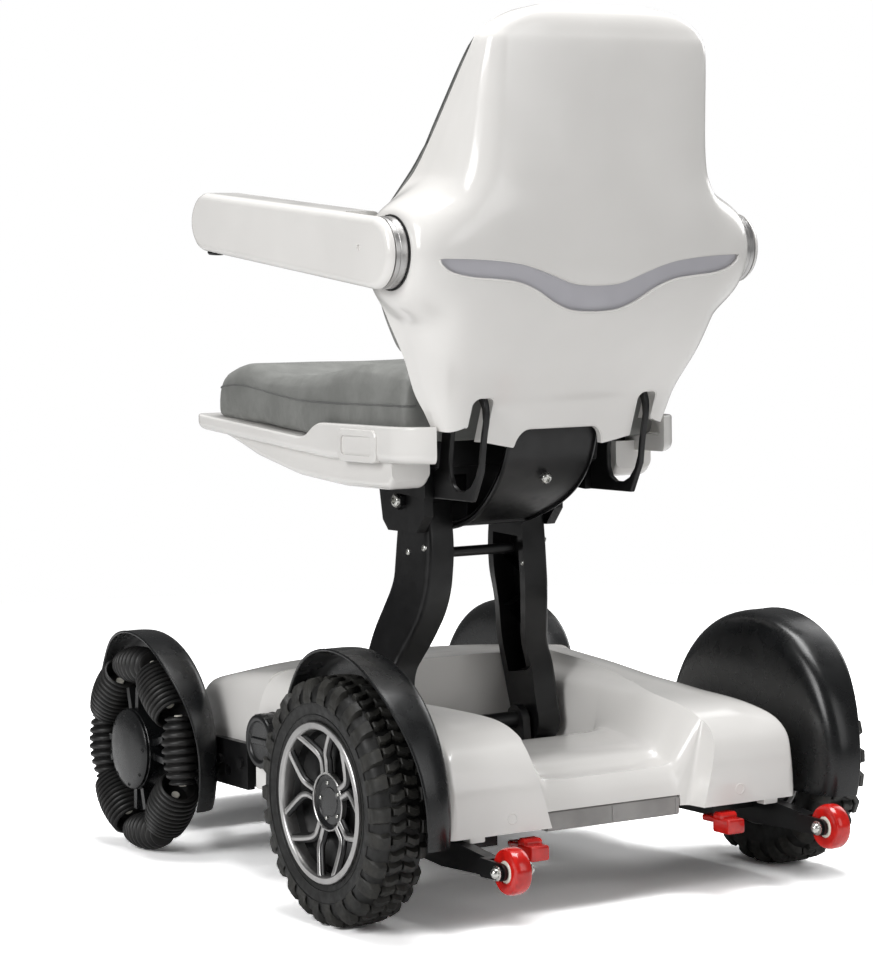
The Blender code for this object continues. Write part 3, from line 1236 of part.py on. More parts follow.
def make_armrest(side):
    """The silver pivot ring and the padded arm, which turns up about the ring's axis."""
    pivot = (ARM_PIVOT_FORWARD, ARM_PIVOT_HEIGHT)
    ring = turned(
        [
            (0.0, ARM_RING_THICKNESS), (ARM_RING_RADIUS - 0.001, ARM_RING_THICKNESS),
            (ARM_RING_RADIUS, ARM_RING_THICKNESS - 0.001), (ARM_RING_RADIUS, 0.001),
            (ARM_RING_RADIUS - 0.001, 0.0), (0.0, 0.0),
        ],
        (side * ARM_RING_X, *pivot), side, steps=20,
    )
    stub = rod(
        ARM_SHAFT_RADIUS, (side * (ARM_RING_X + 0.004), *pivot), (side * (ARM_RING_X + ARM_RING_THICKNESS + 0.005), *pivot)
    )
    part(fuse([ring, stub]), f"armrest_ring_{side_name(side)}", "silver_alloy")
    outer = ARM_RING_X + ARM_RING_THICKNESS + RUNNING_GAP + ARM_CAP_THICKNESS
    tip = (ARM_PIVOT_FORWARD + ARM_REACH - ARM_TIP_RADIUS, ARM_PIVOT_HEIGHT + ARM_RING_RADIUS - ARM_TIP_RADIUS)
    outline = stadium(pivot, tip, ARM_RING_RADIUS, ARM_TIP_RADIUS, 10)
    arm = side_plate(outline, side * (outer - ARM_THICKNESS), side * outer, bevel=0.009)
    recess = box(
        (side * 0.150, ARM_PIVOT_FORWARD - 0.10, ARM_PIVOT_HEIGHT - 0.08),
        (side * (outer - ARM_CAP_THICKNESS), ARM_PIVOT_FORWARD + ARM_BODY_START, ARM_PIVOT_HEIGHT + 0.08),
    )
    socket = rod(ARM_SHAFT_RADIUS + RUNNING_GAP, (side * 0.20, *pivot), (side * (outer - 0.002), *pivot), 16)
    knob = rod(
        0.008, (side * (outer - 0.018), tip[0], ARM_PIVOT_HEIGHT - 0.040), (side * (outer - 0.018), tip[0], ARM_PIVOT_HEIGHT), 12,
    )
    for piece in (arm, recess, socket, knob):
        piece.matrix_world = arm_frame(side) @ piece.matrix_world
    fuse([arm, knob])
    cut(arm, [recess, socket])
    set_origin(arm, side * (outer - ARM_THICKNESS / 2), *pivot)
    part(arm, f"armrest_{side_name(side)}", "white_shell")


def make_joystick():
    """The control box on the right armrest's front end, and the stick that tips in it."""
    x = ARM_THICKNESS / 2 - (ARM_RING_X + ARM_RING_THICKNESS + RUNNING_GAP + ARM_CAP_THICKNESS)
    top = ARM_PIVOT_HEIGHT + ARM_RING_RADIUS + GAP
    stick_at = JOYSTICK_FRONT - 0.040
    case = box((x - 0.022, JOYSTICK_REAR, top), (x + 0.022, JOYSTICK_FRONT, top + JOYSTICK_HEIGHT), 0.006, 2)
    bowl = turned(
        [(0.0, 0.0), (0.016, 0.0), (0.012, -0.010), (0.0, -0.012)], (0, 0, 0), steps=12,
    )
    bowl.matrix_world = Matrix.Translation((x, y_at(stick_at), top + JOYSTICK_HEIGHT + 0.0001))
    cut(case, [bowl])
    case.matrix_world = arm_frame(-1) @ case.matrix_world
    bowl.matrix_world = arm_frame(-1) @ bowl.matrix_world
    part(case, "joystick_box", "black_plastic")
    stick = turned(
        [
            (0.0, 0.062), (0.007, 0.061), (0.0105, 0.055), (0.010, 0.044), (0.0045, 0.034),
            (0.0045, 0.010), (0.010, 0.002), (0.0085, -0.005), (0.0, -0.007),
        ],
        (0, 0, 0), steps=12,
    )
    stick.matrix_world = arm_frame(-1) @ Matrix.Translation((x, y_at(stick_at), top + JOYSTICK_HEIGHT - 0.0015))
    part(stick, "joystick_stick", "black_plastic")


def make_footrest():
    """The fold-up foot plate, with two arms down from its hinge to the front of the frame."""
    hinge = (FOOTREST_HINGE_FORWARD, FOOTREST_HINGE_HEIGHT)
    bottom = FOOTREST_TOP - FOOTREST_THICKNESS
    plate = box(
        (-FOOTREST_HALF_WIDTH, FOOTREST_HINGE_FORWARD + 0.035, bottom), (FOOTREST_HALF_WIDTH, FOOTREST_FRONT, FOOTREST_TOP),
        0.004, 1,
    )
    arms = []
    for s in (1, -1):
        outline = stadium(hinge, (FOOTREST_HINGE_FORWARD + 0.050, bottom + 0.007), 0.011, 0.0065, 6)
        arms.append(side_plate(outline, s * 0.1285, s * 0.1445))
        arms.append(rod(FOOTREST_PIN_RADIUS, (s * 0.140, *hinge), (s * 0.1570, *hinge), 12))
    part(fuse([plate] + arms), "footrest", "black_plastic")


make_chassis()
make_rear_cover()
make_front_cover()
make_rear_step()
make_controller()
make_cross_rod()
make_seat_frame()
make_back_bracket()
make_tray()
make_seat_cushion()
make_shell()
make_back_panel()
make_back_cushion()
make_joystick()
make_footrest()
for which in (1, -1):
    make_rear_wheel(which)
    make_front_wheel(which)
    make_fender(
        which, 0.0, REAR_WHEEL_RADIUS, REAR_WHEEL_RADIUS + REAR_FENDER_CLEARANCE,
        REAR_FENDER_LIP_X, REAR_FENDER_INNER_X, REAR_FENDER_END_DEG, f"rear_fender_{side_name(which)}",
    )
    make_fender(
        which, WHEELBASE, FRONT_WHEEL_RADIUS, FRONT_WHEEL_RADIUS + FRONT_FENDER_CLEARANCE,
        FRONT_FENDER_LIP_X, FRONT_FENDER_INNER_X, FRONT_FENDER_END_DEG, f"front_fender_{side_name(which)}",
    )
    make_battery(which)
    make_front_bracket(which)
    make_anti_tip(which)
    make_lever(which)
    make_leg(which)
    make_side_bracket(which)
    make_armrest(which)
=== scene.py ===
"""The folding power wheelchair, dressed for the picture.

Lengths are metres and +Z is up. The front faces -Y and the user's left is +X.
"forward" is a distance ahead of the rear axle, as in the part's own source, and a place in the side view
is (forward, z). "s" is 1 on the left side and -1 on the right one.
"""

import math

import bmesh
import bpy
from mathutils import Matrix, Vector, noise


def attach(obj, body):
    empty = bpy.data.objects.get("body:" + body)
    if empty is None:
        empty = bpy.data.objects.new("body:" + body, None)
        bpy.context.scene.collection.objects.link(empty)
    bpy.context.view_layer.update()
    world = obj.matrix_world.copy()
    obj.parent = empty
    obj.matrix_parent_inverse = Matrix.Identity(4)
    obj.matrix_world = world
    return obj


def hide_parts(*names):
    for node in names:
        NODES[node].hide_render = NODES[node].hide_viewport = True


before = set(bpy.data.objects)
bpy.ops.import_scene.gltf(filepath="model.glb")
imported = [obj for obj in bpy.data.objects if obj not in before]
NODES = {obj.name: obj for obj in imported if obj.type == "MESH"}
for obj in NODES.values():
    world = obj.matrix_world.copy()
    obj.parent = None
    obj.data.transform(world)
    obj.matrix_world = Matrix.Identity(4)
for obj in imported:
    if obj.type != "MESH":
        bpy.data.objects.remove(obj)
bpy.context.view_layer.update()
MM = 0.001

# Main sizes, as in the part's source
REAR_AXLE_Y = 0.28025
WHEEL_X = 0.293
WHEEL_RADIUS = 0.135
RIM_RADIUS = 0.0875
RIM_HALF = 0.032
FRONT_WHEEL_X = 0.273
WHEELBASE = 0.528
FRONT_RADIUS = 0.125
BODY_HALF = 0.2345
BODY_REAR = -0.117
BODY_SEAM = 0.3085
BODY_FRONT = 0.545
BODY_BOTTOM = 0.100
BODY_CROWN = 0.210
BODY_CENTRE_TOP = 0.239
STEP_TOP = 0.1425
STEP_BOTTOM = 0.112
POCKET_REAR = -0.088
POCKET_FRONT = 0.272
BATTERY = (0.273, 0.161)
LEG_FOOT = (0.213, 0.1645)
LEG_HEAD = (0.1955, 0.4375)
LEG_FOOT_X = 0.100
LEG_HEAD_X = 0.065
LEG_FOOT_WIDTH = 0.056
LEG_HEAD_WIDTH = 0.060
LEG_THICKNESS = 0.035
HINGE = (0.0522, 0.628)
HINGE_X = 0.110
ARM_PIVOT = (-0.004, 0.7215)
RING_RADIUS = 0.0395
RING_X = 0.2222
RING_THICKNESS = 0.0165
ARM_OUTER = 0.2475
ARM_WIDTH = 0.055
ARM_LENGTH = 0.427
ARM_TIP_RADIUS = 0.0345
ARM_TILT_DEG = -5.5
SEAT_HALF = 0.187
SEAT_REAR = 0.018
SEAT_FRONT = 0.543
TRAY_BEND = 0.215
TRAY_LEVEL = 0.508
TRAY_SLOPE = 0.075
SEAT_CORNER_REAR = 0.050
SEAT_CORNER_FRONT = 0.022
TIP_WHEEL = (-0.2045, 0.080)
TIP_WHEEL_X = 0.210
TIP_WHEEL_RADIUS = 0.025
TIP_WHEEL_HALF = 0.010
SIDES = ((1, "left"), (-1, "right"))


# Reading and drawing curves

def at(x, forward, z):
    """The world point of a place given as x, forward, z."""
    return Vector((x, REAR_AXLE_Y - forward, z))


def read(value, table):
    """Straight-line reading of a table of (position, value) pairs."""
    if value <= table[0][0]:
        return table[0][1]
    for (a, low), (b, high) in zip(table, table[1:]):
        if value <= b:
            return low + (high - low) * (value - a) / (b - a)
    return table[-1][1]


def soft_read(value, table, width):
    """A table's straight lines, with their corners rounded off over a width."""
    return sum(read(value + width * (k - 4) / 8, table) for k in range(9)) / 9


def eased(points, place):
    """A point on a smooth curve through points, at a place counted in points."""
    last = len(points) - 1
    i = min(max(int(place), 0), last - 1)
    t = place - i
    before, start, end, after = (points[min(max(k, 0), last)] for k in (i - 1, i, i + 1, i + 2))
    made = []
    for p, a, b, n in zip(before, start, end, after):
        square = 2 * p - 5 * a + 4 * b - n
        cube = 3 * a - p - 3 * b + n
        made.append(0.5 * (2 * a + (b - p) * t + square * t * t + cube * t**3))
    return made


def smooth_line(points, steps):
    """A smooth open line through points, with so many steps between two of them."""
    count = (len(points) - 1) * steps
    return [eased(points, (len(points) - 1) * i / count) for i in range(count + 1)]


def smooth_loop(points, steps):
    """A smooth closed line through points."""
    ring = [points[-1]] + list(points) + [points[0], points[1]]
    return [eased(ring, 1 + i / steps) for i in range(len(points) * steps)]


def quarters(start, end):
    """The two points a quarter of the way in from the ends of a stretch."""
    return [[p + (q - p) * share for p, q in zip(start, end)] for share in (0.25, 0.75)]


def softer(ring):
    """A closed ring of points with its corners cut once."""
    return [point for a, b in zip(ring, ring[1:] + ring[:1]) for point in quarters(a, b)]


def cut_corners(line, times=2):
    """An open line of points with its corners cut and its ends kept."""
    for _ in range(times):
        made = [point for a, b in zip(line, line[1:]) for point in quarters(a, b)]
        line = [list(line[0])] + made + [list(line[-1])]
    return line


def arc(centre, radius, start, end, steps):
    """Points of an arc round a centre of two coordinates, between two angles in degrees."""
    points = []
    for i in range(steps + 1):
        turn = math.radians(start + (end - start) * i / steps)
        points.append((centre[0] + radius * math.cos(turn), centre[1] + radius * math.sin(turn)))
    return points


def capsule(start, end, radius_start, radius_end, steps=28):
    """The outline round two circles in the side view."""
    (f0, z0), (f1, z1) = start, end
    along = math.atan2(z1 - z0, f1 - f0)
    lean = math.asin((radius_start - radius_end) / math.hypot(f1 - f0, z1 - z0))
    points = []
    for i in range(steps + 1):
        turn = along - math.pi / 2 + lean + (math.pi - 2 * lean) * i / steps
        points.append((f1 + radius_end * math.cos(turn), z1 + radius_end * math.sin(turn)))
    for i in range(steps + 1):
        turn = along + math.pi / 2 - lean + (math.pi + 2 * lean) * i / steps
        points.append((f0 + radius_start * math.cos(turn), z0 + radius_start * math.sin(turn)))
    return points


def soft_step(share):
    """0 to 1 with an easy start and end."""
    share = min(max(share, 0.0), 1.0)
    return share * share * (3 - 2 * share)


def last_below(reading, wanted, low, high):
    """The place between low and high where a rising reading comes up to what is wanted."""
    for _ in range(26):
        middle = (low + high) / 2
        if reading(middle) < wanted:
            low = middle
        else:
            high = middle
    return low


def wheel_point(centre, along, radius, angle):
    """A point of a wheel: along its axle, out by a radius, at an angle in degrees up from straight ahead."""
    turn = math.radians(angle)
    return centre + Vector((along, -radius * math.cos(turn), radius * math.sin(turn)))


# Adding forms to a mesh that is being built

def add_skin(bm, rows, closed=False):
    """Faces through a grid of world points; closed joins each row's end to its start."""
    grid = [[bm.verts.new(p) for p in row] for row in rows]
    faces = []
    for near, far in zip(grid, grid[1:]):
        for i in range(len(near) - (0 if closed else 1)):
            j = (i + 1) % len(near)
            faces.append(bm.faces.new((near[i], near[j], far[j], far[i])))
    return grid, faces


def add_loft(bm, rings):
    """A closed solid through closed rings of world points."""
    grid, faces = add_skin(bm, rings, closed=True)
    faces.append(bm.faces.new(grid[0]))
    faces.append(bm.faces.new(grid[-1]))
    bmesh.ops.recalc_face_normals(bm, faces=faces)


def add_sheet(bm, rows, wall):
    """A thin wall through a grid of world points."""
    _, faces = add_skin(bm, rows)
    bmesh.ops.recalc_face_normals(bm, faces=faces)
    bmesh.ops.solidify(bm, geom=faces, thickness=wall)


def face_towards(bm, axis):
    """Turns a skin's faces so that on the whole they look along an axis."""
    bmesh.ops.recalc_face_normals(bm, faces=bm.faces)
    facing = sum((face.normal * face.calc_area() for face in bm.faces), Vector())
    if facing.dot(Vector(axis)) < 0:
        bmesh.ops.reverse_faces(bm, faces=bm.faces)


def add_turned(bm, profile, centre, axis, steps=48, closed=False):
    """A profile of (radius, distance along the axis) turned round an axis through centre."""
    axis = Vector(axis).normalized()
    across = axis.orthogonal().normalized()
    up = axis.cross(across)
    rows = []
    for radius, along in profile:
        middle = centre + axis * along
        if radius < 1e-6:
            rows.append([bm.verts.new(middle)])
            continue
        ring = []
        for i in range(steps):
            turn = 2 * math.pi * i / steps
            ring.append(bm.verts.new(middle + (across * math.cos(turn) + up * math.sin(turn)) * radius))
        rows.append(ring)
    faces = []
    pairs = list(zip(rows, rows[1:])) + ([(rows[-1], rows[0])] if closed else [])
    for near, far in pairs:
        for i in range(steps):
            j = (i + 1) % steps
            if len(near) == 1 and len(far) == 1:
                continue
            if len(near) == 1:
                faces.append(bm.faces.new((near[0], far[j], far[i])))
            elif len(far) == 1:
                faces.append(bm.faces.new((near[i], near[j], far[0])))
            else:
                faces.append(bm.faces.new((near[i], near[j], far[j], far[i])))
    bmesh.ops.recalc_face_normals(bm, faces=faces)


def add_block(bm, low, high, bevel=0.0, segments=2):
    """A box between two corners given as x, forward, z, with rounded edges."""
    centre = at(*((a + b) / 2 for a, b in zip(low, high)))
    size = [abs(b - a) for a, b in zip(low, high)]
    place = Matrix.Translation(centre) @ Matrix.Diagonal((*size, 1.0))
    made = bmesh.ops.create_cube(bm, size=1.0, matrix=place)
    if bevel:
        edges = list({e for v in made["verts"] for e in v.link_edges})
        bmesh.ops.bevel(bm, geom=edges, offset=bevel, segments=segments, profile=0.5, affect="EDGES")


def add_plate(bm, outline, x_low, x_high, bevel=0.0, segments=2):
    """A flat outline of (forward, z) points as thick as the distance between two x values."""
    near = [bm.verts.new(at(x_low, f, z)) for f, z in outline]
    far = [bm.verts.new(at(x_high, f, z)) for f, z in outline]
    faces = [bm.faces.new(near), bm.faces.new(far)]
    rims = list({e for face in faces for e in face.edges})
    for i in range(len(outline)):
        j = (i + 1) % len(outline)
        faces.append(bm.faces.new((near[i], near[j], far[j], far[i])))
    bmesh.ops.recalc_face_normals(bm, faces=faces)
    if bevel:
        bmesh.ops.bevel(bm, geom=rims, offset=bevel, segments=segments, profile=0.5, affect="EDGES")


def add_tube(bm, path, radius, sides=10, closed=False, flat=1.0, up=None):
    """A round or flattened tube along world points; up turns the flat side."""
    count = len(path)
    rings = []
    normal = Vector(up) if up else None
    for i, point in enumerate(path):
        before = path[(i - 1) % count] if closed or i else point
        after = path[(i + 1) % count] if closed or i < count - 1 else point
        along = (Vector(after) - Vector(before)).normalized()
        if normal is None:
            normal = along.orthogonal()
        side = along.cross(normal).normalized()
        facing = side.cross(along).normalized()
        if up is None:
            normal = facing
        ring = []
        for k in range(sides):
            turn = 2 * math.pi * k / sides
            out = side * (radius * math.cos(turn)) + facing * (radius * flat * math.sin(turn))
            ring.append(Vector(point) + out)
        rings.append(ring)
    if closed:
        grid = [[bm.verts.new(p) for p in ring] for ring in rings]
        faces = []
        for near, far in zip(grid, grid[1:] + grid[:1]):
            for i in range(sides):
                j = (i + 1) % sides
                faces.append(bm.faces.new((near[i], near[j], far[j], far[i])))
        bmesh.ops.recalc_face_normals(bm, faces=faces)
    else:
        add_loft(bm, rings)


SCREW_PROFILE = [
    # share of the radius, share of the head's height: the socket, the domed head and the sunk end
    (0.0, 0.35), (0.42, 0.35), (0.46, 0.96), (0.70, 0.90), (0.92, 0.55), (1.0, 0.15), (1.0, -1.0),
    (0.0, -1.0),
]


def add_screw(bm, centre, axis, radius):
    """A button-head screw with a socket, sunk a little where it sits."""
    head = 0.55 * radius
    add_turned(bm, [(radius * out, head * up) for out, up in SCREW_PROFILE], Vector(centre), axis, steps=18)


# Turning a mesh into a piece of the chair

def new_object(bm, name):
    """An object in the scene from a mesh that is being built."""
    mesh = bpy.data.meshes.new(name)
    bm.to_mesh(mesh)
    bm.free()
    obj = bpy.data.objects.new(name, mesh)
    bpy.context.scene.collection.objects.link(obj)
    return obj


def settle(obj):
    """Turns an object's modifiers into its mesh."""
    bpy.context.view_layer.update()
    made = bpy.data.meshes.new_from_object(obj.evaluated_get(bpy.context.evaluated_depsgraph_get()))
    obj.modifiers.clear()
    obj.data = made


def cut_loft(rings):
    """A solid through closed rings of world points, to cut with."""
    bm = bmesh.new()
    add_loft(bm, rings)
    return new_object(bm, "cutter")


def cut_plate(outline, x_low, x_high):
    """A flat outline in the side view, to cut with between two x values."""
    bm = bmesh.new()
    add_plate(bm, outline, x_low, x_high)
    return new_object(bm, "cutter")


def cut_block(low, high, bevel=0.0, segments=2):
    """A block to cut with."""
    bm = bmesh.new()
    add_block(bm, low, high, bevel, segments)
    return new_object(bm, "cutter")


def cut_round(centre, axis, radius, reach, steps=48):
    """A round bar to cut with."""
    bm = bmesh.new()
    add_turned(bm, [(0.0, -reach), (radius, -reach), (radius, reach), (0.0, reach)], centre, axis, steps)
    return new_object(bm, "cutter")


def thicken(obj, wall, even=False):
    """Gives a skin a wall on its inner side."""
    step = obj.modifiers.new("Wall", "SOLIDIFY")
    step.thickness = wall
    step.offset = -1.0
    step.use_even_offset = even
    settle(obj)


def carve(obj, cutters, operation="DIFFERENCE"):
    """Cuts the cutters out of an object and removes them."""
    for cutter in cutters:
        step = obj.modifiers.new("Cut", "BOOLEAN")
        step.object = cutter
        step.operation = operation
        step.solver = "EXACT"
    settle(obj)
    for cutter in cutters:
        bpy.data.objects.remove(cutter, do_unlink=True)


def round_edges(obj, width, angle_deg=35.0, segments=2):
    """Rounds an object's hard edges, so that they catch the light."""
    bm = bmesh.new()
    bm.from_mesh(obj.data)
    bmesh.ops.remove_doubles(bm, verts=bm.verts, dist=2e-5)
    bmesh.ops.dissolve_limit(bm, angle_limit=math.radians(0.6), verts=bm.verts, edges=bm.edges)
    bm.to_mesh(obj.data)
    bm.free()
    step = obj.modifiers.new("Round", "BEVEL")
    step.limit_method = "ANGLE"
    step.angle_limit = math.radians(angle_deg)
    step.width = width
    step.segments = segments
    step.use_clamp_overlap = True
    settle(obj)


def shade(obj, angle_deg=35.0):
    """Smooth shading that keeps hard edges hard, with flat faces left flat."""
    obj.data.shade_smooth()
    obj.data.set_sharp_from_angle(angle=math.radians(angle_deg))
    step = obj.modifiers.new("Flat faces", "WEIGHTED_NORMAL")
    step.keep_sharp = True
    settle(obj)


def fit(made, name, body, material, replaces=(), angle_deg=35.0):
    """Finishes a piece: its name, shading and material, and the body it rides on; hides the nodes it stands
    for.
    """
    obj = made if isinstance(made, bpy.types.Object) else new_object(made, name)
    obj.name = name
    shade(obj, angle_deg)
    obj.data.name = name
    obj.data.materials.clear()
    obj.data.materials.append(material)
    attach(obj, body)
    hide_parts(*replaces)


def softened(node, body, material, width, angle_deg, name=None):
    """A copy of a CAD node with rounded edges, which stands for it."""
    obj = bpy.data.objects.new(node, NODES[node].data.copy())
    bpy.context.scene.collection.objects.link(obj)
    round_edges(obj, width, angle_deg)
    fit(obj, name or node + "_finished", body, material, [node])


# Finishes


def colour(code):
    """A six-digit sRGB hex value as linear red, green, blue and alpha."""
    parts = []
    for i in (0, 2, 4):
        share = int(code[i:i + 2], 16) / 255
        parts.append(share / 12.92 if share <= 0.04045 else ((share + 0.055) / 1.055) ** 2.4)
    return (*parts, 1.0)


def add_node(tree, kind, settings=(), links=()):
    """Adds a shader node, sets its values and links its inputs."""
    made = tree.nodes.new(kind)
    for name, value in settings:
        if name in made.inputs:
            made.inputs[name].default_value = value
        else:
            setattr(made, name, value)
    for name, source in links:
        tree.links.new(source, made.inputs[name])
    return made


def new_finish(name, code, roughness, metallic=0.0, ior=1.5, coat=0.0):
    """A material of one colour, with its tree, its shader and its place in the object in metres."""
    made = bpy.data.materials.new(name)
    made.use_nodes = True
    tree = made.node_tree
    shader = tree.nodes["Principled BSDF"]
    shader.inputs["Base Color"].default_value = colour(code)
    shader.inputs["Roughness"].default_value = roughness
    shader.inputs["Metallic"].default_value = metallic
    if not metallic:
        shader.inputs["IOR"].default_value = ior
    shader.inputs["Coat Weight"].default_value = coat
    made.diffuse_color = colour(code)
    place = add_node(tree, "ShaderNodeTexCoord").outputs["Object"]
    return made, tree, shader, place


def pattern(tree, place, size, detail=2.0, rough=0.5):
    """A cloudy pattern whose patches are about size metres wide."""
    settings = [("Scale", 1.0 / size), ("Detail", detail), ("Roughness", rough)]
    return add_node(tree, "ShaderNodeTexNoise", settings, [("Vector", place)]).outputs["Fac"]


def spread(tree, source, low, high, start=0.35, end=0.65):
    """Maps a pattern to a range of values."""
    settings = [("From Min", start), ("From Max", end), ("To Min", low), ("To Max", high)]
    return add_node(tree, "ShaderNodeMapRange", settings, [("Value", source)]).outputs["Result"]


def tint(tree, shader, source, code_low, code_high):
    """Colours a surface between two hex values by a pattern."""
    settings = [("Color1", colour(code_low)), ("Color2", colour(code_high))]
    mixed = add_node(tree, "ShaderNodeMixRGB", settings, [("Fac", source)])
    tree.links.new(mixed.outputs["Color"], shader.inputs["Base Color"])


def relief(tree, shader, height, strength, depth, over=None):
    """Raises a surface by a pattern, by depth metres at most."""
    settings = [("Strength", strength), ("Distance", depth)]
    bump = add_node(tree, "ShaderNodeBump", settings, [("Height", height)])
    if over:
        tree.links.new(over, bump.inputs["Normal"])
    tree.links.new(bump.outputs["Normal"], shader.inputs["Normal"])
    return bump.outputs["Normal"]


def make_white_abs():
    """Glossy injection-moulded ABS: sharp highlights that waver a little over the moulding's faint swell."""
    made, tree, shader, place = new_finish("moulded_white_abs", "E3E1DE", 0.17, ior=1.53, coat=0.25)
    shader.inputs["Coat Roughness"].default_value = 0.06
    tint(tree, shader, spread(tree, pattern(tree, place, 140 * MM), 0.0, 1.0), "E0DEDB", "E6E4E1")
    tree.links.new(spread(tree, pattern(tree, place, 60 * MM, 3.0), 0.14, 0.21), shader.inputs["Roughness"])
    relief(tree, shader, pattern(tree, place, 9 * MM, 1.0), 0.05, 0.15 * MM)
    return made


def make_black_abs():
    """Satin black ABS from a spark-eroded mould: a soft sheen broken by a fine pebble."""
    made, tree, shader, place = new_finish("moulded_black_abs", "111213", 0.27, ior=1.5)
    tint(tree, shader, spread(tree, pattern(tree, place, 90 * MM, 3.0), 0.0, 1.0), "0E0F10", "151617")
    tree.links.new(spread(tree, pattern(tree, place, 25 * MM, 4.0), 0.23, 0.32), shader.inputs["Roughness"])
    # The real pebble is 0.3 mm across; drawn at 0.9 mm so that it shows
    relief(tree, shader, pattern(tree, place, 0.9 * MM, 2.0), 0.10, 0.10 * MM)
    return made


def make_powder_coat():
    """Polyester powder coat baked on steel: deep black with a fine orange peel."""
    made, tree, shader, place = new_finish("powder_coated_steel", "0E0E0F", 0.36, ior=1.45)
    tint(tree, shader, spread(tree, pattern(tree, place, 70 * MM, 3.0), 0.0, 1.0), "0B0B0C", "121213")
    tree.links.new(spread(tree, pattern(tree, place, 18 * MM, 3.0), 0.28, 0.42), shader.inputs["Roughness"])
    relief(tree, shader, pattern(tree, place, 1.4 * MM, 2.0), 0.14, 0.12 * MM)
    return made


def make_tread_rubber():
    """Vulcanised tyre rubber of the tread blocks: dull black, greyer where the rubber's wax blooms."""
    made, tree, shader, place = new_finish("tread_rubber", "1C1B19", 0.55, ior=1.5)
    tint(tree, shader, spread(tree, pattern(tree, place, 22 * MM, 5.0, 0.65), 0.0, 1.0), "141412", "2A2925")
    tree.links.new(spread(tree, pattern(tree, place, 8 * MM, 4.0), 0.50, 0.72), shader.inputs["Roughness"])
    relief(tree, shader, pattern(tree, place, 1.2 * MM, 3.0), 0.25, 0.15 * MM)
    return made


def make_side_rubber():
    """The tyre's own rubber below the blocks: clean and black."""
    made, tree, shader, place = new_finish("sidewall_rubber", "0C0C0B", 0.52, ior=1.48)
    tint(tree, shader, spread(tree, pattern(tree, place, 30 * MM, 4.0), 0.0, 1.0), "090908", "10100F")
    tree.links.new(spread(tree, pattern(tree, place, 8 * MM, 4.0), 0.45, 0.62), shader.inputs["Roughness"])
    relief(tree, shader, pattern(tree, place, 1.5 * MM, 3.0), 0.15, 0.10 * MM)
    return made


def make_roller_rubber():
    """Softer roller rubber: dark, with a low sheen along each rib."""
    made, tree, shader, place = new_finish("ribbed_roller_rubber", "151514", 0.45, ior=1.5)
    tint(tree, shader, spread(tree, pattern(tree, place, 16 * MM, 4.0), 0.0, 1.0), "101010", "1D1C1B")
    relief(tree, shader, pattern(tree, place, 1.0 * MM, 2.0), 0.18, 0.12 * MM)
    return made


def make_aluminium():
    """Turned and clear-lacquered aluminium: pale, with the lathe's fine rings."""
    made, tree, shader, place = new_finish("turned_aluminium", "B8B7B6", 0.34, metallic=1.0)
    tint(tree, shader, spread(tree, pattern(tree, place, 30 * MM, 3.0), 0.0, 1.0), "B4B3B2", "BCBBBA")
    tree.links.new(spread(tree, pattern(tree, place, 6 * MM, 4.0), 0.30, 0.40), shader.inputs["Roughness"])
    relief(tree, shader, pattern(tree, place, 0.8 * MM, 1.0), 0.02, 0.05 * MM)
    return made


def make_zinc():
    """Zinc-plated steel: bright bluish screws with a faint cloudy bloom."""
    made, tree, shader, place = new_finish("zinc_plated_steel", "CFCFCB", 0.24, metallic=1.0)
    tint(tree, shader, spread(tree, pattern(tree, place, 3 * MM, 3.0), 0.0, 1.0), "BEBEBA", "D8D8D4")
    tree.links.new(spread(tree, pattern(tree, place, 2 * MM, 3.0), 0.18, 0.34), shader.inputs["Roughness"])
    return made


def make_leatherette(name, low, high, grain):
    """Polyurethane leatherette: a soft sheen over embossed cells, with fine creases between them."""
    made, tree, shader, place = new_finish(name, high, 0.50, ior=1.5)
    shader.inputs["Sheen Weight"].default_value = 0.12
    shader.inputs["Sheen Roughness"].default_value = 0.5
    tint(tree, shader, spread(tree, pattern(tree, place, 45 * MM, 4.0, 0.6), 0.0, 1.0), low, high)
    tree.links.new(spread(tree, pattern(tree, place, 14 * MM, 3.0), 0.44, 0.58), shader.inputs["Roughness"])
    # Cells are 0.8 mm across in the real cover; drawn at the size given so that they show
    settings = [("feature", "DISTANCE_TO_EDGE"), ("Scale", 1.0 / grain)]
    cells = add_node(tree, "ShaderNodeTexVoronoi", settings, [("Vector", place)])
    edges = spread(tree, cells.outputs["Distance"], 0.0, 1.0, 0.0, 0.22)
    pits = relief(tree, shader, edges, 0.22, 0.18 * MM)
    relief(tree, shader, pattern(tree, place, 11 * MM, 3.0, 0.6), 0.22, 0.8 * MM, over=pits)
    return made


def make_grey_abs():
    """Grey moulded ABS, satin, as on the step strip and the controller's case."""
    made, tree, shader, place = new_finish("moulded_grey_abs", "8E8C8A", 0.36, ior=1.53)
    tint(tree, shader, spread(tree, pattern(tree, place, 50 * MM, 3.0), 0.0, 1.0), "868482", "989694")
    relief(tree, shader, pattern(tree, place, 1.0 * MM, 2.0), 0.10, 0.08 * MM)
    return made


def make_grip_abs():
    """Satin grey-violet ABS of the hand hold: an even colour with hardly any highlight."""
    made, tree, shader, place = new_finish("grip_panel_abs", "B4B3B9", 0.40, ior=1.53)
    tint(tree, shader, spread(tree, pattern(tree, place, 70 * MM, 2.0), 0.0, 1.0), "AFAEB4", "B8B7BD")
    relief(tree, shader, pattern(tree, place, 1.0 * MM, 2.0), 0.06, 0.08 * MM)
    return made


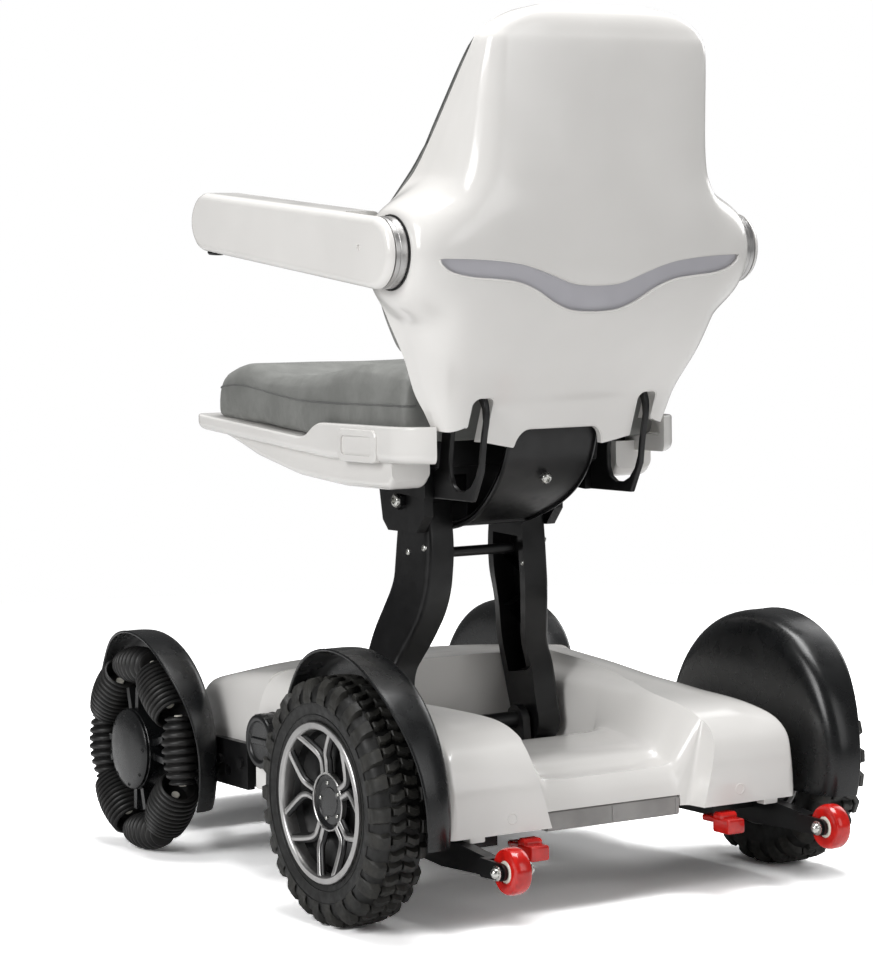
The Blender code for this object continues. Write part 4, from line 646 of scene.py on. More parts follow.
def make_urethane():
    """Cast polyurethane: saturated red that looks wet and slightly deep."""
    made, tree, shader, place = new_finish("cast_red_urethane", "C01712", 0.20, ior=1.5, coat=0.4)
    shader.inputs["Coat Roughness"].default_value = 0.08
    tint(tree, shader, spread(tree, pattern(tree, place, 12 * MM, 3.0), 0.0, 1.0), "B01410", "CC1C15")
    relief(tree, shader, pattern(tree, place, 5 * MM, 2.0), 0.06, 0.15 * MM)
    return made


def make_nylon():
    """Moulded nylon: milky white with a dull polish."""
    made, tree, shader, place = new_finish("white_nylon", "E4E0D4", 0.35, ior=1.53)
    tint(tree, shader, spread(tree, pattern(tree, place, 8 * MM, 2.0), 0.0, 1.0), "DEDACE", "E8E5DA")
    return made


WHITE = make_white_abs()
BLACK = make_black_abs()
STEEL = make_powder_coat()
TREAD = make_tread_rubber()
SIDEWALL = make_side_rubber()
ROLLER = make_roller_rubber()
ALLOY = make_aluminium()
ZINC = make_zinc()
LEATHER = make_leatherette("grained_leatherette", "6E6F6C", "7C7D7A", 1.7 * MM)
PIPING = make_leatherette("leatherette_piping", "4E4F4E", "5A5B59", 1.2 * MM)
GREY = make_grey_abs()
GRIP = make_grip_abs()
RED = make_urethane()
NYLON = make_nylon()


# Backrest

SHELL_TABLE = [
    # height, forward of the back's middle, half width, forward of the side's front edge
    (0.5020, 0.0117, 0.1415, 0.0310), (0.5430, -0.0035, 0.156, 0.0400), (0.5675, -0.0185, 0.164, 0.0495),
    (0.6070, -0.0440, 0.180, 0.0440), (0.6465, -0.0635, 0.194, 0.0510), (0.6860, -0.0746, 0.209, 0.0530),
    (0.7215, -0.0796, 0.217, 0.0545), (0.7550, -0.0835, 0.205, 0.0545), (0.7890, -0.0865, 0.179, 0.0465),
    (0.8235, -0.0895, 0.165, 0.0235), (0.9270, -0.0963, 0.150, -0.0453), (0.9565, -0.0950, 0.139, -0.0570),
    (0.9755, -0.0895, 0.110, -0.0625), (0.9850, -0.0787, 0.073, -0.0647),
]
SHELL_ACROSS = [
    # share of the half width, share of the depth from back to front edge
    (0.0, 0.0), (0.38, 0.010), (0.70, 0.040), (0.88, 0.130), (0.97, 0.35), (1.0, 0.70), (1.0, 1.0),
]
SHELL_WALL = 3.5 * MM
SHELL_SIDE_PLACE = 4.7
SWELL_OUTER = 0.086
SWELL_INNER = 0.042
ROW_STEPS = 8
ACROSS_STEPS = 6
CURVE_STEPS = 6
FLANGE_WALL = 1.4 * MM
SLOT_HALF = 0.014
SLOT_TOP = 0.5620
SLOT_CORNER = 0.009


def shell_sizes(height):
    """Back, half width and front edge of the shell at a height, from the smooth curve through the table."""
    place = last_below(lambda p: eased(SHELL_TABLE, p)[0], height, 0.0, len(SHELL_TABLE) - 1.0)
    return eased(SHELL_TABLE, place)[1:]


def shell_point(place, sizes, height):
    """The x and forward distance of a place across the shell, swollen to meet the arm's ring."""
    back, half, front = sizes
    across, depth = eased(SHELL_ACROSS, place)
    x = min(across, 1.0) * half
    forward = back + (front - back) * depth
    away = math.hypot(forward - ARM_PIVOT[0], height - ARM_PIVOT[1])
    near = soft_step((SWELL_OUTER - away) / (SWELL_OUTER - SWELL_INNER)) * soft_step((x - 0.150) / 0.050)
    return x + max(RING_X - 0.6 * MM - x, 0.0) * near, forward


def shell_forward(x, height):
    """How far forward the shell's outer skin is, at a sideways place and a height."""
    sizes = shell_sizes(height)
    place = last_below(lambda p: shell_point(p, sizes, height)[0], abs(x), 0.0, SHELL_SIDE_PLACE)
    return shell_point(place, sizes, height)[1]


def shell_rows():
    """The shell's outer skin as rows of points from the right edge to the left one."""
    rows = []
    places = [k / ACROSS_STEPS for k in range((len(SHELL_ACROSS) - 1) * ACROSS_STEPS + 1)]
    for i in range((len(SHELL_TABLE) - 1) * ROW_STEPS + 1):
        height, *sizes = eased(SHELL_TABLE, i / ROW_STEPS)
        left = [shell_point(place, sizes, height) for place in places]
        row = [(-x, f) for x, f in reversed(left[1:])] + left
        rows.append([at(x, f, height) for x, f in row])
    return rows


WING_HALF = [
    # the hand hold's outline from the middle of its top edge round to the middle of its bottom edge
    (0.0, 0.6830), (0.030, 0.6853), (0.060, 0.6955), (0.084, 0.7035), (0.106, 0.7087), (0.134, 0.7121),
    (0.160, 0.7139), (0.182, 0.7147), (0.1945, 0.7148), (0.1985, 0.7125), (0.1950, 0.7060), (0.183, 0.6980),
    (0.160, 0.6925), (0.130, 0.6898), (0.104, 0.6862), (0.080, 0.6775), (0.054, 0.6630), (0.030, 0.6545),
    (0.0, 0.6523),
]
WING_TIP = 9
WING_REACH = 0.1995


def wing_outline():
    """The hand hold's whole outline as (x, z) points."""
    whole = WING_HALF + [(-x, z) for x, z in reversed(WING_HALF[1:-1])]
    return smooth_loop(whole, CURVE_STEPS)


def back_prism(outline, forward_low, forward_high):
    """A prism through the backrest from an outline of (x, z) points, to cut with."""
    return cut_loft([[at(x, f, z) for x, z in outline] for f in (forward_low, forward_high)])


def flange(bm, outline, depth):
    """A thin wall going inwards from an outline of (x, z) points on the shell."""
    rows = [[at(x, shell_forward(x, z) + d, z) for x, z in outline] for d in (0.6 * MM, depth)]
    add_sheet(bm, rows, FLANGE_WALL)


def slot_outline(x, low_right, low_left):
    """The outline of a slot that a side bracket passes through, with the heights where its sides end."""
    top = SLOT_TOP - SLOT_CORNER
    points = [(x - SLOT_HALF, low_right)]
    points += arc((x - SLOT_HALF + SLOT_CORNER, top), SLOT_CORNER, 180, 90, 6)
    points += arc((x + SLOT_HALF - SLOT_CORNER, top), SLOT_CORNER, 90, 0, 6)
    return points + [(x + SLOT_HALF, low_left)]


NOTCH_HALF = [
    # the left half of the notch that the back bracket passes through
    (0.0604, 0.4800), (0.0600, 0.5045), (0.0580, 0.5130), (0.0535, 0.5200), (0.0480, 0.5240),
    (0.0420, 0.5250),
]
LOWER_EDGE = [
    # the shell's edge from the notch out to the side, with the lobe that hangs beside each slot
    (0.0590, 0.5033), (0.0790, 0.5070), (0.0960, 0.5108), (0.1100, 0.5115), (0.1235, 0.5300),
    (0.1320, 0.5262), (0.1420, 0.5238), (0.1490, 0.5248), (0.1555, 0.5292), (0.1605, 0.5360),
    (0.1680, 0.5480), (0.1750, 0.5600),
]


def make_shell_skin(notch):
    """The shell's skin, with the hand hold, the slots and the notch cut through it."""
    bm = bmesh.new()
    add_skin(bm, shell_rows())
    face_towards(bm, (0, 1, 0))
    shell = new_object(bm, "shell")
    thicken(shell, SHELL_WALL, even=True)
    cutters = [back_prism(wing_outline(), -0.145, -0.022)]
    cutters.append(back_prism(notch + [(-x, z) for x, z in reversed(notch)], -0.06, 0.05))
    edge = cut_corners(LOWER_EDGE, 2)
    for s, _ in SIDES:
        cutters.append(back_prism(slot_outline(s * HINGE_X, 0.470, 0.470), -0.060, 0.040))
        below = [(s * x, z) for x, z in [(0.0590, 0.4700)] + edge + [(0.1950, 0.5600), (0.1950, 0.4700)]]
        cutters.append(back_prism(below, -0.06, 0.07))
    carve(shell, cutters)
    fit(shell, "backrest_shell_skin", "backrest", WHITE, ["backrest_shell"], 40.0)


def make_grip_insert():
    """The grey insert behind the hand hold, a little larger than the opening."""
    top = smooth_line(WING_HALF[:WING_TIP + 1], CURVE_STEPS)
    bottom = smooth_line(list(reversed(WING_HALF[WING_TIP:])), CURVE_STEPS)
    rows = []
    for i in range(73):
        x = WING_REACH * (i / 36 - 1)
        high = read(abs(x), top) + 3 * MM
        low = read(abs(x), bottom) - 3 * MM
        heights = [low + (high - low) * k / 8 for k in range(9)]
        rows.append([at(x, shell_forward(x, z) + 4.0 * MM, z) for z in heights])
    bm = bmesh.new()
    add_sheet(bm, rows, 1.5 * MM)
    fit(bm, "backrest_grip_insert", "backrest", GRIP, ["backrest_grip_panel"])


def make_backrest_shell():
    """The white shell with the returns inside its openings, a lip under the hand hold, and its insert."""
    notch = cut_corners(NOTCH_HALF, 1)
    make_shell_skin(notch)
    bm = bmesh.new()
    wing = wing_outline()
    flange(bm, wing + wing[:1], 4.5 * MM)
    lip = smooth_line(WING_HALF[WING_TIP:], CURVE_STEPS)
    lip += [(-x, z) for x, z in reversed(lip[:-1])]
    add_tube(bm, [at(x, shell_forward(x, z) + 0.1 * MM, z) for x, z in lip], 1.3 * MM, 8)
    for s, _ in SIDES:
        inner, outer = 0.5110, 0.5290
        lows = (inner, outer) if s > 0 else (outer, inner)
        flange(bm, slot_outline(s * HINGE_X, *lows), 24 * MM)
    inside = [(0.0602, 0.5045)] + [(x, z) for x, z in notch if z > 0.5046]
    flange(bm, inside + [(-x, z) for x, z in reversed(inside)], 8 * MM)
    fit(bm, "backrest_shell_returns", "backrest", WHITE)
    make_grip_insert()


# Cushions

def add_pad(bm, place, rows, columns, levels):
    """A closed pad from place(u, v, level), with u and v from -1 to 1.

    Level 0 is its underside, 1 its seam and 2 its top, and a level between is a ring round its side.
    """
    grid = {}
    for level in levels:
        for i in range(rows + 1):
            for j in range(columns + 1):
                if 0 < level < 2 and 0 < i < rows and 0 < j < columns:
                    continue
                grid[level, i, j] = bm.verts.new(at(*place(2 * i / rows - 1, 2 * j / columns - 1, level)))
    for level in (0, 2):
        for i in range(rows):
            for j in range(columns):
                bm.faces.new([grid[level, *k] for k in ((i, j), (i + 1, j), (i + 1, j + 1), (i, j + 1))])
    rim = [(i, 0) for i in range(rows)] + [(rows, j) for j in range(columns)]
    rim += [(i, columns) for i in range(rows, 0, -1)] + [(0, j) for j in range(columns, 0, -1)]
    for lower, upper in zip(levels, levels[1:]):
        for a, b in zip(rim, rim[1:] + rim[:1]):
            bm.faces.new((grid[lower, *a], grid[lower, *b], grid[upper, *b], grid[upper, *a]))
    bmesh.ops.recalc_face_normals(bm, faces=bm.faces)


def subdivide(obj, levels):
    """Subdivides a piece into a smooth one."""
    step = obj.modifiers.new("Smooth", "SUBSURF")
    step.levels = levels
    step.render_levels = levels
    settle(obj)


def puff(obj, cap):
    """Swells a pad as its foam does, by a pressed cloth skin that may move no further than cap."""
    rough = obj.modifiers.new("Even", "REMESH")
    rough.mode = "VOXEL"
    rough.voxel_size = 6 * MM
    settle(obj)
    before = [v.co.copy() for v in obj.data.vertices]
    cloth = obj.modifiers.new("Cloth", "CLOTH")
    cloth.settings.quality = 4
    cloth.settings.mass = 0.4
    cloth.settings.tension_stiffness = 18
    cloth.settings.compression_stiffness = 18
    cloth.settings.shear_stiffness = 8
    cloth.settings.bending_stiffness = 2.0
    cloth.settings.use_pressure = True
    cloth.settings.uniform_pressure_force = 4.0
    cloth.settings.effector_weights.gravity = 0.0
    cloth.point_cache.frame_start = 1
    cloth.point_cache.frame_end = 20
    for number in range(1, 21):
        bpy.context.scene.frame_set(number)
    settle(obj)
    bpy.context.scene.frame_set(1)
    for vertex, start in zip(obj.data.vertices, before):
        moved = vertex.co - start
        if moved.length > cap:
            vertex.co = start + moved.normalized() * cap


def make_piping(cushion, line, lift, radius, name, body):
    """Piping laid on a cushion's cover along a line of world points."""
    on_cover = []
    for point in line:
        hit, place, normal, _ = cushion.closest_point_on_mesh(point)
        on_cover.append(place + normal * lift if hit else point)
    bm = bmesh.new()
    add_tube(bm, on_cover, radius, 8)
    fit(bm, name, body, PIPING)


def tray_top(forward):
    """Height of the tray's top, level at the back and rising to the front."""
    return TRAY_LEVEL + TRAY_SLOPE * max(0.0, forward - TRAY_BEND)


CUSHION_HALF = 0.1775
CUSHION_MIDDLE = 0.284
CUSHION_REACH = 0.228
SEAT_TOP_LINE = [
    # forward, height of the cushion's crest at the near side
    (0.056, 0.5850), (0.100, 0.5905), (0.180, 0.5925), (0.250, 0.5825), (0.320, 0.5735), (0.380, 0.5755),
    (0.430, 0.5865), (0.468, 0.5890), (0.495, 0.5830), (0.512, 0.5750),
]
SEAT_SEAM = [
    # forward, height of the seam
    (0.056, 0.5530), (0.220, 0.5525), (0.300, 0.5540), (0.380, 0.5630), (0.450, 0.5710), (0.512, 0.5640),
]


def seat_place(u, v, level):
    """A point of the seat cushion's cage: drawn-in sides, a wavy top and a shallow saddle."""
    u = math.copysign(abs(u) ** 0.55, u)
    v = math.copysign(abs(v) ** 0.60, v)
    edge = max(abs(u), abs(v))
    draw = 0.972 if level == 2 else 1.0
    rounding = 1.0 - 0.014 * (abs(u) * abs(v)) ** 6
    x = CUSHION_HALF * u * draw * rounding
    forward = CUSHION_MIDDLE + CUSHION_REACH * v * draw * rounding
    if level < 0.5:
        return x, forward, tray_top(forward) + (0.6 + 30 * level) * MM
    if level < 2:
        return x, forward, soft_read(forward, SEAT_SEAM, 0.05)
    crest = soft_read(forward, SEAT_TOP_LINE, 0.03)
    saddle = 0.012 * (1.0 - u * u) * (1.0 - v * v)
    return x, forward, crest + 0.004 - 0.003 * edge**8 - saddle


def crease_seat(cushion):
    """Small creases in the cover's sides below the seam, and a faint swell on top."""
    for vertex in cushion.data.vertices:
        p = vertex.co
        forward = REAR_AXLE_Y - p.y
        seam = soft_read(forward, SEAT_SEAM, 0.05)
        below = min(max((seam - p.z) / 0.030, 0.0), 1.0)
        at_side = abs(p.x) > 0.150
        if at_side or forward > 0.480:
            wave = noise.noise(Vector((p.x * 18, p.y * 55, p.z * 9)))
            pull = noise.noise(Vector((p.x * 40, p.y * 120 + p.z * 30, 3.0)))
            out = Vector((math.copysign(1.0, p.x), 0.0, 0.0)) if at_side else Vector((0.0, -1.0, 0.0))
            vertex.co += out * (wave * 1.6 * MM + pull * 0.9 * MM) * below
        ripple = noise.noise(Vector((p.x * 9, p.y * 12, 7.0)))
        vertex.co.z += 1.2 * MM * ripple * min(max((p.z - seam) / 0.02, 0.0), 1.0)


def make_seat_cushion():
    """The seat cushion: foam in a boxed leatherette cover with a piped seam."""
    bm = bmesh.new()
    add_pad(bm, seat_place, 10, 14, (0, 0.2, 1, 2))
    cushion = new_object(bm, "seat")
    subdivide(cushion, 2)
    carve(cushion, [cut_block((-0.127, 0.020, 0.48), (0.127, 0.088, 0.66), 0.012)])
    puff(cushion, 5 * MM)
    subdivide(cushion, 1)
    crease_seat(cushion)
    fit(cushion, "seat_cushion_cover", "seat", LEATHER, ["seat_cushion"], 80.0)
    seam = []
    for x, ahead in seam_path(CUSHION_HALF, CUSHION_REACH, 0.020, 14):
        forward = CUSHION_MIDDLE + ahead
        seam.append(at(x * 0.995, forward, soft_read(forward, SEAT_SEAM, 0.05)))
    make_piping(cushion, seam, 0.4 * MM, 1.1 * MM, "seat_cushion_piping", "seat")


def seam_path(half_x, half_f, corner, steps):
    """A rounded rectangle from inside the left rear corner, round the front, to inside the right rear one."""
    points = arc((half_x - corner, corner - half_f), corner, -90, 0, steps)
    count = int((2 * half_f - 2 * corner) / 0.02)
    points += [(half_x, corner - half_f + 0.02 * i) for i in range(1, count + 1)]
    points += arc((half_x - corner, half_f - corner), corner, 0, 90, steps)
    across = int((half_x - corner) / 0.01)
    points += [((half_x - corner) * (1 - i / across), half_f) for i in range(1, across + 1)]
    return points + [(-x, f) for x, f in reversed(points[:-1])]


BACK_PROUD = [
    # height, how far the back cushion stands out past the shell's front edge, less beside the armrests
    (0.600, 0.020), (0.662, 0.019), (0.682, 0.008), (0.765, 0.006), (0.790, 0.018), (0.980, 0.016),
]
BACK_LOW = 0.607
BACK_HEIGHT = 0.374


def back_place(u, v, level):
    """A point of the back cushion's cage, hollowed for the user's back."""
    height = BACK_LOW + BACK_HEIGHT * (v + 1) / 2
    back, half, front = shell_sizes(height)
    proud = soft_read(height, BACK_PROUD, 0.02)
    hollow = 0.034 * (1.0 - u * u) * read(height, [(0.6, 1.0), (0.8, 0.8), (0.97, 0.2)])
    face = front + proud - hollow
    inner = half - 0.0045 - SHELL_WALL
    depth = min(0.050, front - back - 0.004)
    if level == 2:
        edge = max(abs(u), abs(v))
        return (half - 0.006) * u, face - 0.004 * edge**6, height
    if level == 1:
        return (half + 0.0015) * u, front + 0.45 * proud, height
    return inner * u * 0.97, face - depth + 0.4 * hollow, height


def stitch_back(cushion):
    """Two upright stitched channels and one across, pressed into the back cushion's faintly uneven face."""
    for vertex in cushion.data.vertices:
        p = vertex.co
        forward = REAR_AXLE_Y - p.y
        _, _, front = shell_sizes(min(max(p.z, 0.53), 0.98))
        facing = min(max((forward - front + 0.02) / 0.02, 0.0), 1.0)
        upright = math.exp(-(((abs(p.x) - 0.062) / 0.0045) ** 2))
        level = math.exp(-(((p.z - 0.842) / 0.0045) ** 2))
        puffed = noise.noise(Vector((p.x * 11, 1.0, p.z * 9)))
        vertex.co.y += (3.2 * MM * min(upright + level, 1.0) + 1.3 * MM * puffed) * facing


def make_back_cushion():
    """The back cushion: foam in leatherette with a piped edge and stitched channels."""
    bm = bmesh.new()
    add_pad(bm, back_place, 12, 16, (0, 1, 2))
    cushion = new_object(bm, "back")
    subdivide(cushion, 2)
    carve(cushion, [cut_block((s * 0.0975, -0.05, 0.55), (s * 0.1325, 0.12, 0.654), 0.004) for s, _ in SIDES])
    stitch_back(cushion)
    fit(cushion, "backrest_cushion_cover", "backrest", LEATHER, ["backrest_cushion"], 80.0)
    edge = []
    for i in range(81):
        x, forward, height = back_place(*edge_walk(i / 80), 1)
        edge.append(at(x, forward + 4 * MM, height))
    make_piping(cushion, edge, 0.3 * MM, 1.4 * MM, "backrest_cushion_piping", "backrest")


def edge_walk(share):
    """A walk up the left edge of a pad, over its top and down the right edge."""
    if share < 0.4:
        return 1.0, -0.6 + 1.6 * share / 0.4
    if share < 0.6:
        return 1.0 - 2.0 * (share - 0.4) / 0.2, 1.0
    return -1.0, 1.0 - 1.6 * (share - 0.6) / 0.4


# Armrests

def arm_turn():
    """Turns a shape drawn level and ahead of the pivot into the armrest's tilt."""
    pivot = at(0.0, *ARM_PIVOT)
    turn = Matrix.Rotation(math.radians(ARM_TILT_DEG), 4, "X")
    return Matrix.Translation(pivot) @ turn @ Matrix.Translation(-pivot)


def tilt(bm):
    """Gives a mesh being built the armrest's tilt."""
    bmesh.ops.transform(bm, matrix=arm_turn(), verts=bm.verts)


def make_armrest(s, side):
    """The moulded arm with its thin cap over the pivot's ring, and the knob and seam under it."""
    forward, height = ARM_PIVOT
    tip = (forward + ARM_LENGTH - ARM_TIP_RADIUS, height + RING_RADIUS - ARM_TIP_RADIUS)
    inner_face = s * (ARM_OUTER - ARM_WIDTH)
    bm = bmesh.new()
    add_plate(bm, capsule(ARM_PIVOT, tip, RING_RADIUS, ARM_TIP_RADIUS), inner_face, s * ARM_OUTER, 0.0095, 4)
    arm = new_object(bm, "arm")
    behind_cap = (s * (ARM_OUTER - 0.0078), forward + 0.074, height + 0.08)
    recess = cut_block((s * 0.150, forward - 0.10, height - 0.08), behind_cap, 0.003)
    bm = bmesh.new()
    hole = [(0.0, 0.0), (0.0026, 0.0), (0.0032, 0.003), (0.0, 0.003)]
    add_turned(bm, hole, at(s * (ARM_OUTER - 0.0022), forward + 0.026, height + 0.004), (s, 0, 0), 20)
    carve(arm, [recess, new_object(bm, "cutter")])
    arm.data.transform(arm_turn())
    fit(arm, f"armrest_{side}_moulding", f"armrest_{side}", WHITE, [f"armrest_{side}"])

    bm = bmesh.new()
    knob = [(0.0, 0.0), (0.0090, 0.0), (0.0100, 0.001), (0.0100, 0.004), (0.0085, 0.006), (0.0, 0.0065)]
    add_turned(bm, knob, at(s * (ARM_OUTER - 0.018), tip[0] - 0.002, height - 0.0275), (0, 0, -1), 24)
    inset = 0.0085
    seam = capsule(ARM_PIVOT, tip, RING_RADIUS - inset, ARM_TIP_RADIUS - inset)
    line = [at(inner_face - s * 0.2 * MM, f, z) for f, z in seam if f > forward + 0.076]
    add_tube(bm, line, 0.5 * MM, 6)
    tilt(bm)
    fit(bm, f"armrest_{side}_knob", f"armrest_{side}", BLACK)


def make_arm_ring(s, side):
    """The turned ring that the arm's cap sits on, with a groove, and the seal between it and the shell."""
    bm = bmesh.new()
    edge = RING_RADIUS - 0.4 * MM
    corner = RING_RADIUS - 1.2 * MM
    inner = RING_X + 0.9 * MM
    outer = RING_X + RING_THICKNESS - 0.2 * MM
    groove = inner + 0.62 * (outer - inner)
    profile = [
        (0.0, inner), (corner, inner), (edge, inner + 0.5 * MM),
        (RING_RADIUS - 0.2 * MM, groove - 0.5 * MM), (RING_RADIUS - 1.0 * MM, groove),
        (edge, groove + 0.5 * MM), (edge, outer - 0.5 * MM), (corner, outer), (0.0, outer),
    ]
    add_turned(bm, profile, at(0, *ARM_PIVOT), (s, 0, 0), 72)
    fit(bm, f"armrest_{side}_ring", "backrest", ALLOY, [f"armrest_ring_{side}"])

    bm = bmesh.new()
    rim = RING_RADIUS + 1.6 * MM
    start = RING_X - 0.2 * MM
    add_turned(bm, [(0.0, start), (rim, start), (rim, inner), (0.0, inner)], at(0, *ARM_PIVOT), (s, 0, 0), 72)
    fit(bm, f"armrest_{side}_seal", "backrest", BLACK)


def make_joystick():
    """The control box on the right armrest: case, keys, lamp bar, gaiter and stick."""
    x = -(ARM_OUTER - ARM_WIDTH / 2)
    low = ARM_PIVOT[1] + RING_RADIUS + 0.3 * MM
    lid = low + 0.0285
    bm = bmesh.new()
    add_block(bm, (x - 0.022, 0.300, low), (x + 0.022, 0.400, low + 0.030), 0.006, 4)
    tilt(bm)
    fit(bm, "joystick_case", "armrest_right", BLACK, ["joystick_box"])
    bm = bmesh.new()
    for forward in (0.312, 0.326):
        for across in (x - 0.010, x + 0.010):
            key = (across + 0.006, forward + 0.005, lid + 0.0027)
            add_block(bm, (across - 0.006, forward - 0.005, lid), key, 0.001)
    add_block(bm, (x - 0.014, 0.3355, lid), (x + 0.014, 0.3395, lid + 0.0021), 0.0008)
    tilt(bm)
    fit(bm, "joystick_keys", "armrest_right", GREY)
    bm = bmesh.new()
    profile = [(0.0, -0.0005), (0.0085, -0.0005), (0.0105, 0.002)]
    for k in range(4):
        profile += [(0.0100 - 0.0013 * k, 0.0032 + 0.0022 * k), (0.0108 - 0.0014 * k, 0.0043 + 0.0022 * k)]
    profile += [
        (0.0045, 0.013), (0.0045, 0.034), (0.0100, 0.044), (0.0112, 0.050), (0.0105, 0.0555),
        (0.0070, 0.0600), (0.0, 0.0612),
    ]
    add_turned(bm, profile, at(x, 0.360, lid), (0, 0, 1), 40)
    tilt(bm)
    fit(bm, "joystick_gaiter_and_knob", "joystick", BLACK, ["joystick_stick"])


# Seat tray

TRAY_THICK = 0.019
TRAY_PAD_TOP = 0.5303
TRAY_RIM = [
    # forward, height of the raised side's edge
    (TRAY_BEND + 0.012, TRAY_PAD_TOP), (TRAY_BEND + 0.026, TRAY_PAD_TOP - 0.0045),
    (TRAY_BEND + 0.046, tray_top(TRAY_BEND + 0.046) + 0.0025),
    (TRAY_BEND + 0.060, tray_top(TRAY_BEND + 0.060)), (SEAT_FRONT, tray_top(SEAT_FRONT)),
]


def tray_half(forward):
    """Half the tray's width, drawn in at its round corners."""
    for end, corner, sign in ((SEAT_REAR, SEAT_CORNER_REAR, 1), (SEAT_FRONT, SEAT_CORNER_FRONT, -1)):
        into = corner - sign * (forward - end)
        if into > 0.0:
            return SEAT_HALF - corner + math.sqrt(max(corner**2 - into**2, 0.0))
    return SEAT_HALF


def tray_ring(forward):
    """A cross-section of the tray with a soft lower edge and a crisper upper one."""
    half = tray_half(forward)
    top = soft_read(forward, TRAY_RIM, 0.010)
    low = tray_top(forward) - TRAY_THICK
    nose = min(max(0.0, 1.0 - (SEAT_FRONT - forward) / 0.010), 1.0) ** 2
    middle = (top + low) / 2
    top += nose * 0.75 * (middle - top)
    low += nose * 0.75 * (middle - low)
    under = min(0.011, 0.55 * (top - low))
    over = min(0.0028, 0.25 * (top - low))
    left = arc((half - under, low + under), under, -90, 0, 6) + arc((half - over, top - over), over, 0, 90, 4)
    return [at(x, forward, z) for x, z in left] + [at(-x, forward, z) for x, z in reversed(left)]


def rounded(low, high, corner):
    """A rectangle in the side view with rounded corners."""
    rear, front = low[0] + corner, high[0] - corner
    under, over = low[1] + corner, high[1] - corner
    points = []
    for k, centre in enumerate(((front, over), (rear, over), (rear, under), (front, under))):
        points += arc(centre, corner, 90 * k, 90 * k + 90, 5)
    return points


def add_side_pad(bm, s):
    """A raised frame with a sunk panel on the tray's side."""
    outer = rounded((0.094, 0.4885), (0.180, 0.5255), 0.009)
    drawn = rounded((0.0951, 0.4894), (0.1789, 0.5246), 0.0088)
    inner = rounded((0.103, 0.4960), (0.171, 0.5180), 0.005)
    steps = [(outer, -0.004), (outer, 0.0010), (drawn, 0.0022), (inner, 0.0026), (inner, 0.0006)]
    add_loft(bm, [[at(s * (SEAT_HALF + out), f, z) for f, z in ring] for ring, out in steps])


BELLY_INNER = 0.127
BELLY_OUTER = 0.1765
BELLY_REAR = 0.0800
BELLY_LENGTH = 0.4080
BELLY_LOW = [
    # forward, height of the belly's underside
    (0.080, 0.4700), (0.083, 0.4625), (0.090, 0.4590), (0.100, 0.4580), (0.190, 0.4580), (0.300, 0.4660),
    (0.400, 0.4845), (0.480, 0.5080), (0.492, 0.5130),
]


def belly_ring(s, forward):
    """Cross-section of a tray belly: flat above, inside the tray, with two rounded corners below."""
    top = tray_top(forward) - 0.008
    low = min(soft_read(forward, BELLY_LOW, 0.006), top - 0.002)
    edge = min(0.009, 0.45 * (top - low))
    ring = [(BELLY_INNER, top)]
    ring += arc((BELLY_INNER + edge, low + edge), edge, 180, 270, 6)
    ring += arc((BELLY_OUTER - edge, low + edge), edge, 270, 360, 6)
    ring.append((BELLY_OUTER, top))
    return [at(s * x, forward, z) for x, z in ring]


def make_tray():
    """The white seat tray: raised sides, a gap in its rear edge, a belly under each side, and side pads."""
    rear_corner = SEAT_REAR + SEAT_CORNER_REAR
    places = [SEAT_REAR + SEAT_CORNER_REAR * (1.0 - math.cos(math.radians(9 * i))) for i in range(11)]
    places += [rear_corner + (TRAY_BEND - rear_corner) * i / 8 for i in range(1, 9)]
    places += [TRAY_BEND + 0.005 * i for i in range(1, 16)]
    places += [0.300 + 0.017 * i for i in range(13)]
    places += [SEAT_FRONT - SEAT_CORNER_FRONT * (1.0 - math.cos(math.radians(90 - 9 * i))) for i in range(11)]
    bm = bmesh.new()
    add_loft(bm, [tray_ring(forward) for forward in places])
    tray = new_object(bm, "tray")

    inner = SEAT_HALF - 0.0085
    corner = SEAT_CORNER_REAR - 0.0085
    above = TRAY_LEVEL + 0.06
    plan = [(inner, TRAY_BEND + 0.002)] + arc((inner - corner, rear_corner), corner, 0, -90, 12)
    plan += [(-x, forward) for x, forward in reversed(plan)]
    well = cut_loft([[at(x, forward, z) for x, forward in plan] for z in (TRAY_LEVEL, above)])
    slope = [(TRAY_BEND, TRAY_LEVEL), (0.60, tray_top(0.60)), (0.60, above), (TRAY_BEND, above)]
    carve(tray, [well, cut_plate(slope, -inner, inner)])
    carve(tray, [cut_block((-0.1535, SEAT_REAR - 0.02, 0.42), (0.1535, 0.103, 0.56), 0.006, 3)])
    bellies = bmesh.new()
    pads = bmesh.new()
    for s, _ in SIDES:
        places = [BELLY_REAR + BELLY_LENGTH * soft_step(i / 48) for i in range(49)]
        add_loft(bellies, [belly_ring(s, forward) for forward in places])
        add_side_pad(pads, s)
    fit(bellies, "seat_tray_bellies", "seat", WHITE)
    fit(tray, "seat_tray_moulding", "seat", WHITE, ["seat_tray"], 32.0)
    fit(pads, "seat_tray_side_pads", "seat", WHITE)
    bm = bmesh.new()
    add_block(bm, (-0.1515, 0.0955, 0.4800), (0.1515, 0.1020, TRAY_LEVEL + 0.0020), 0.0010)
    fit(bm, "seat_tray_gap_liner", "seat", STEEL)


# Legs, brackets and seat frame

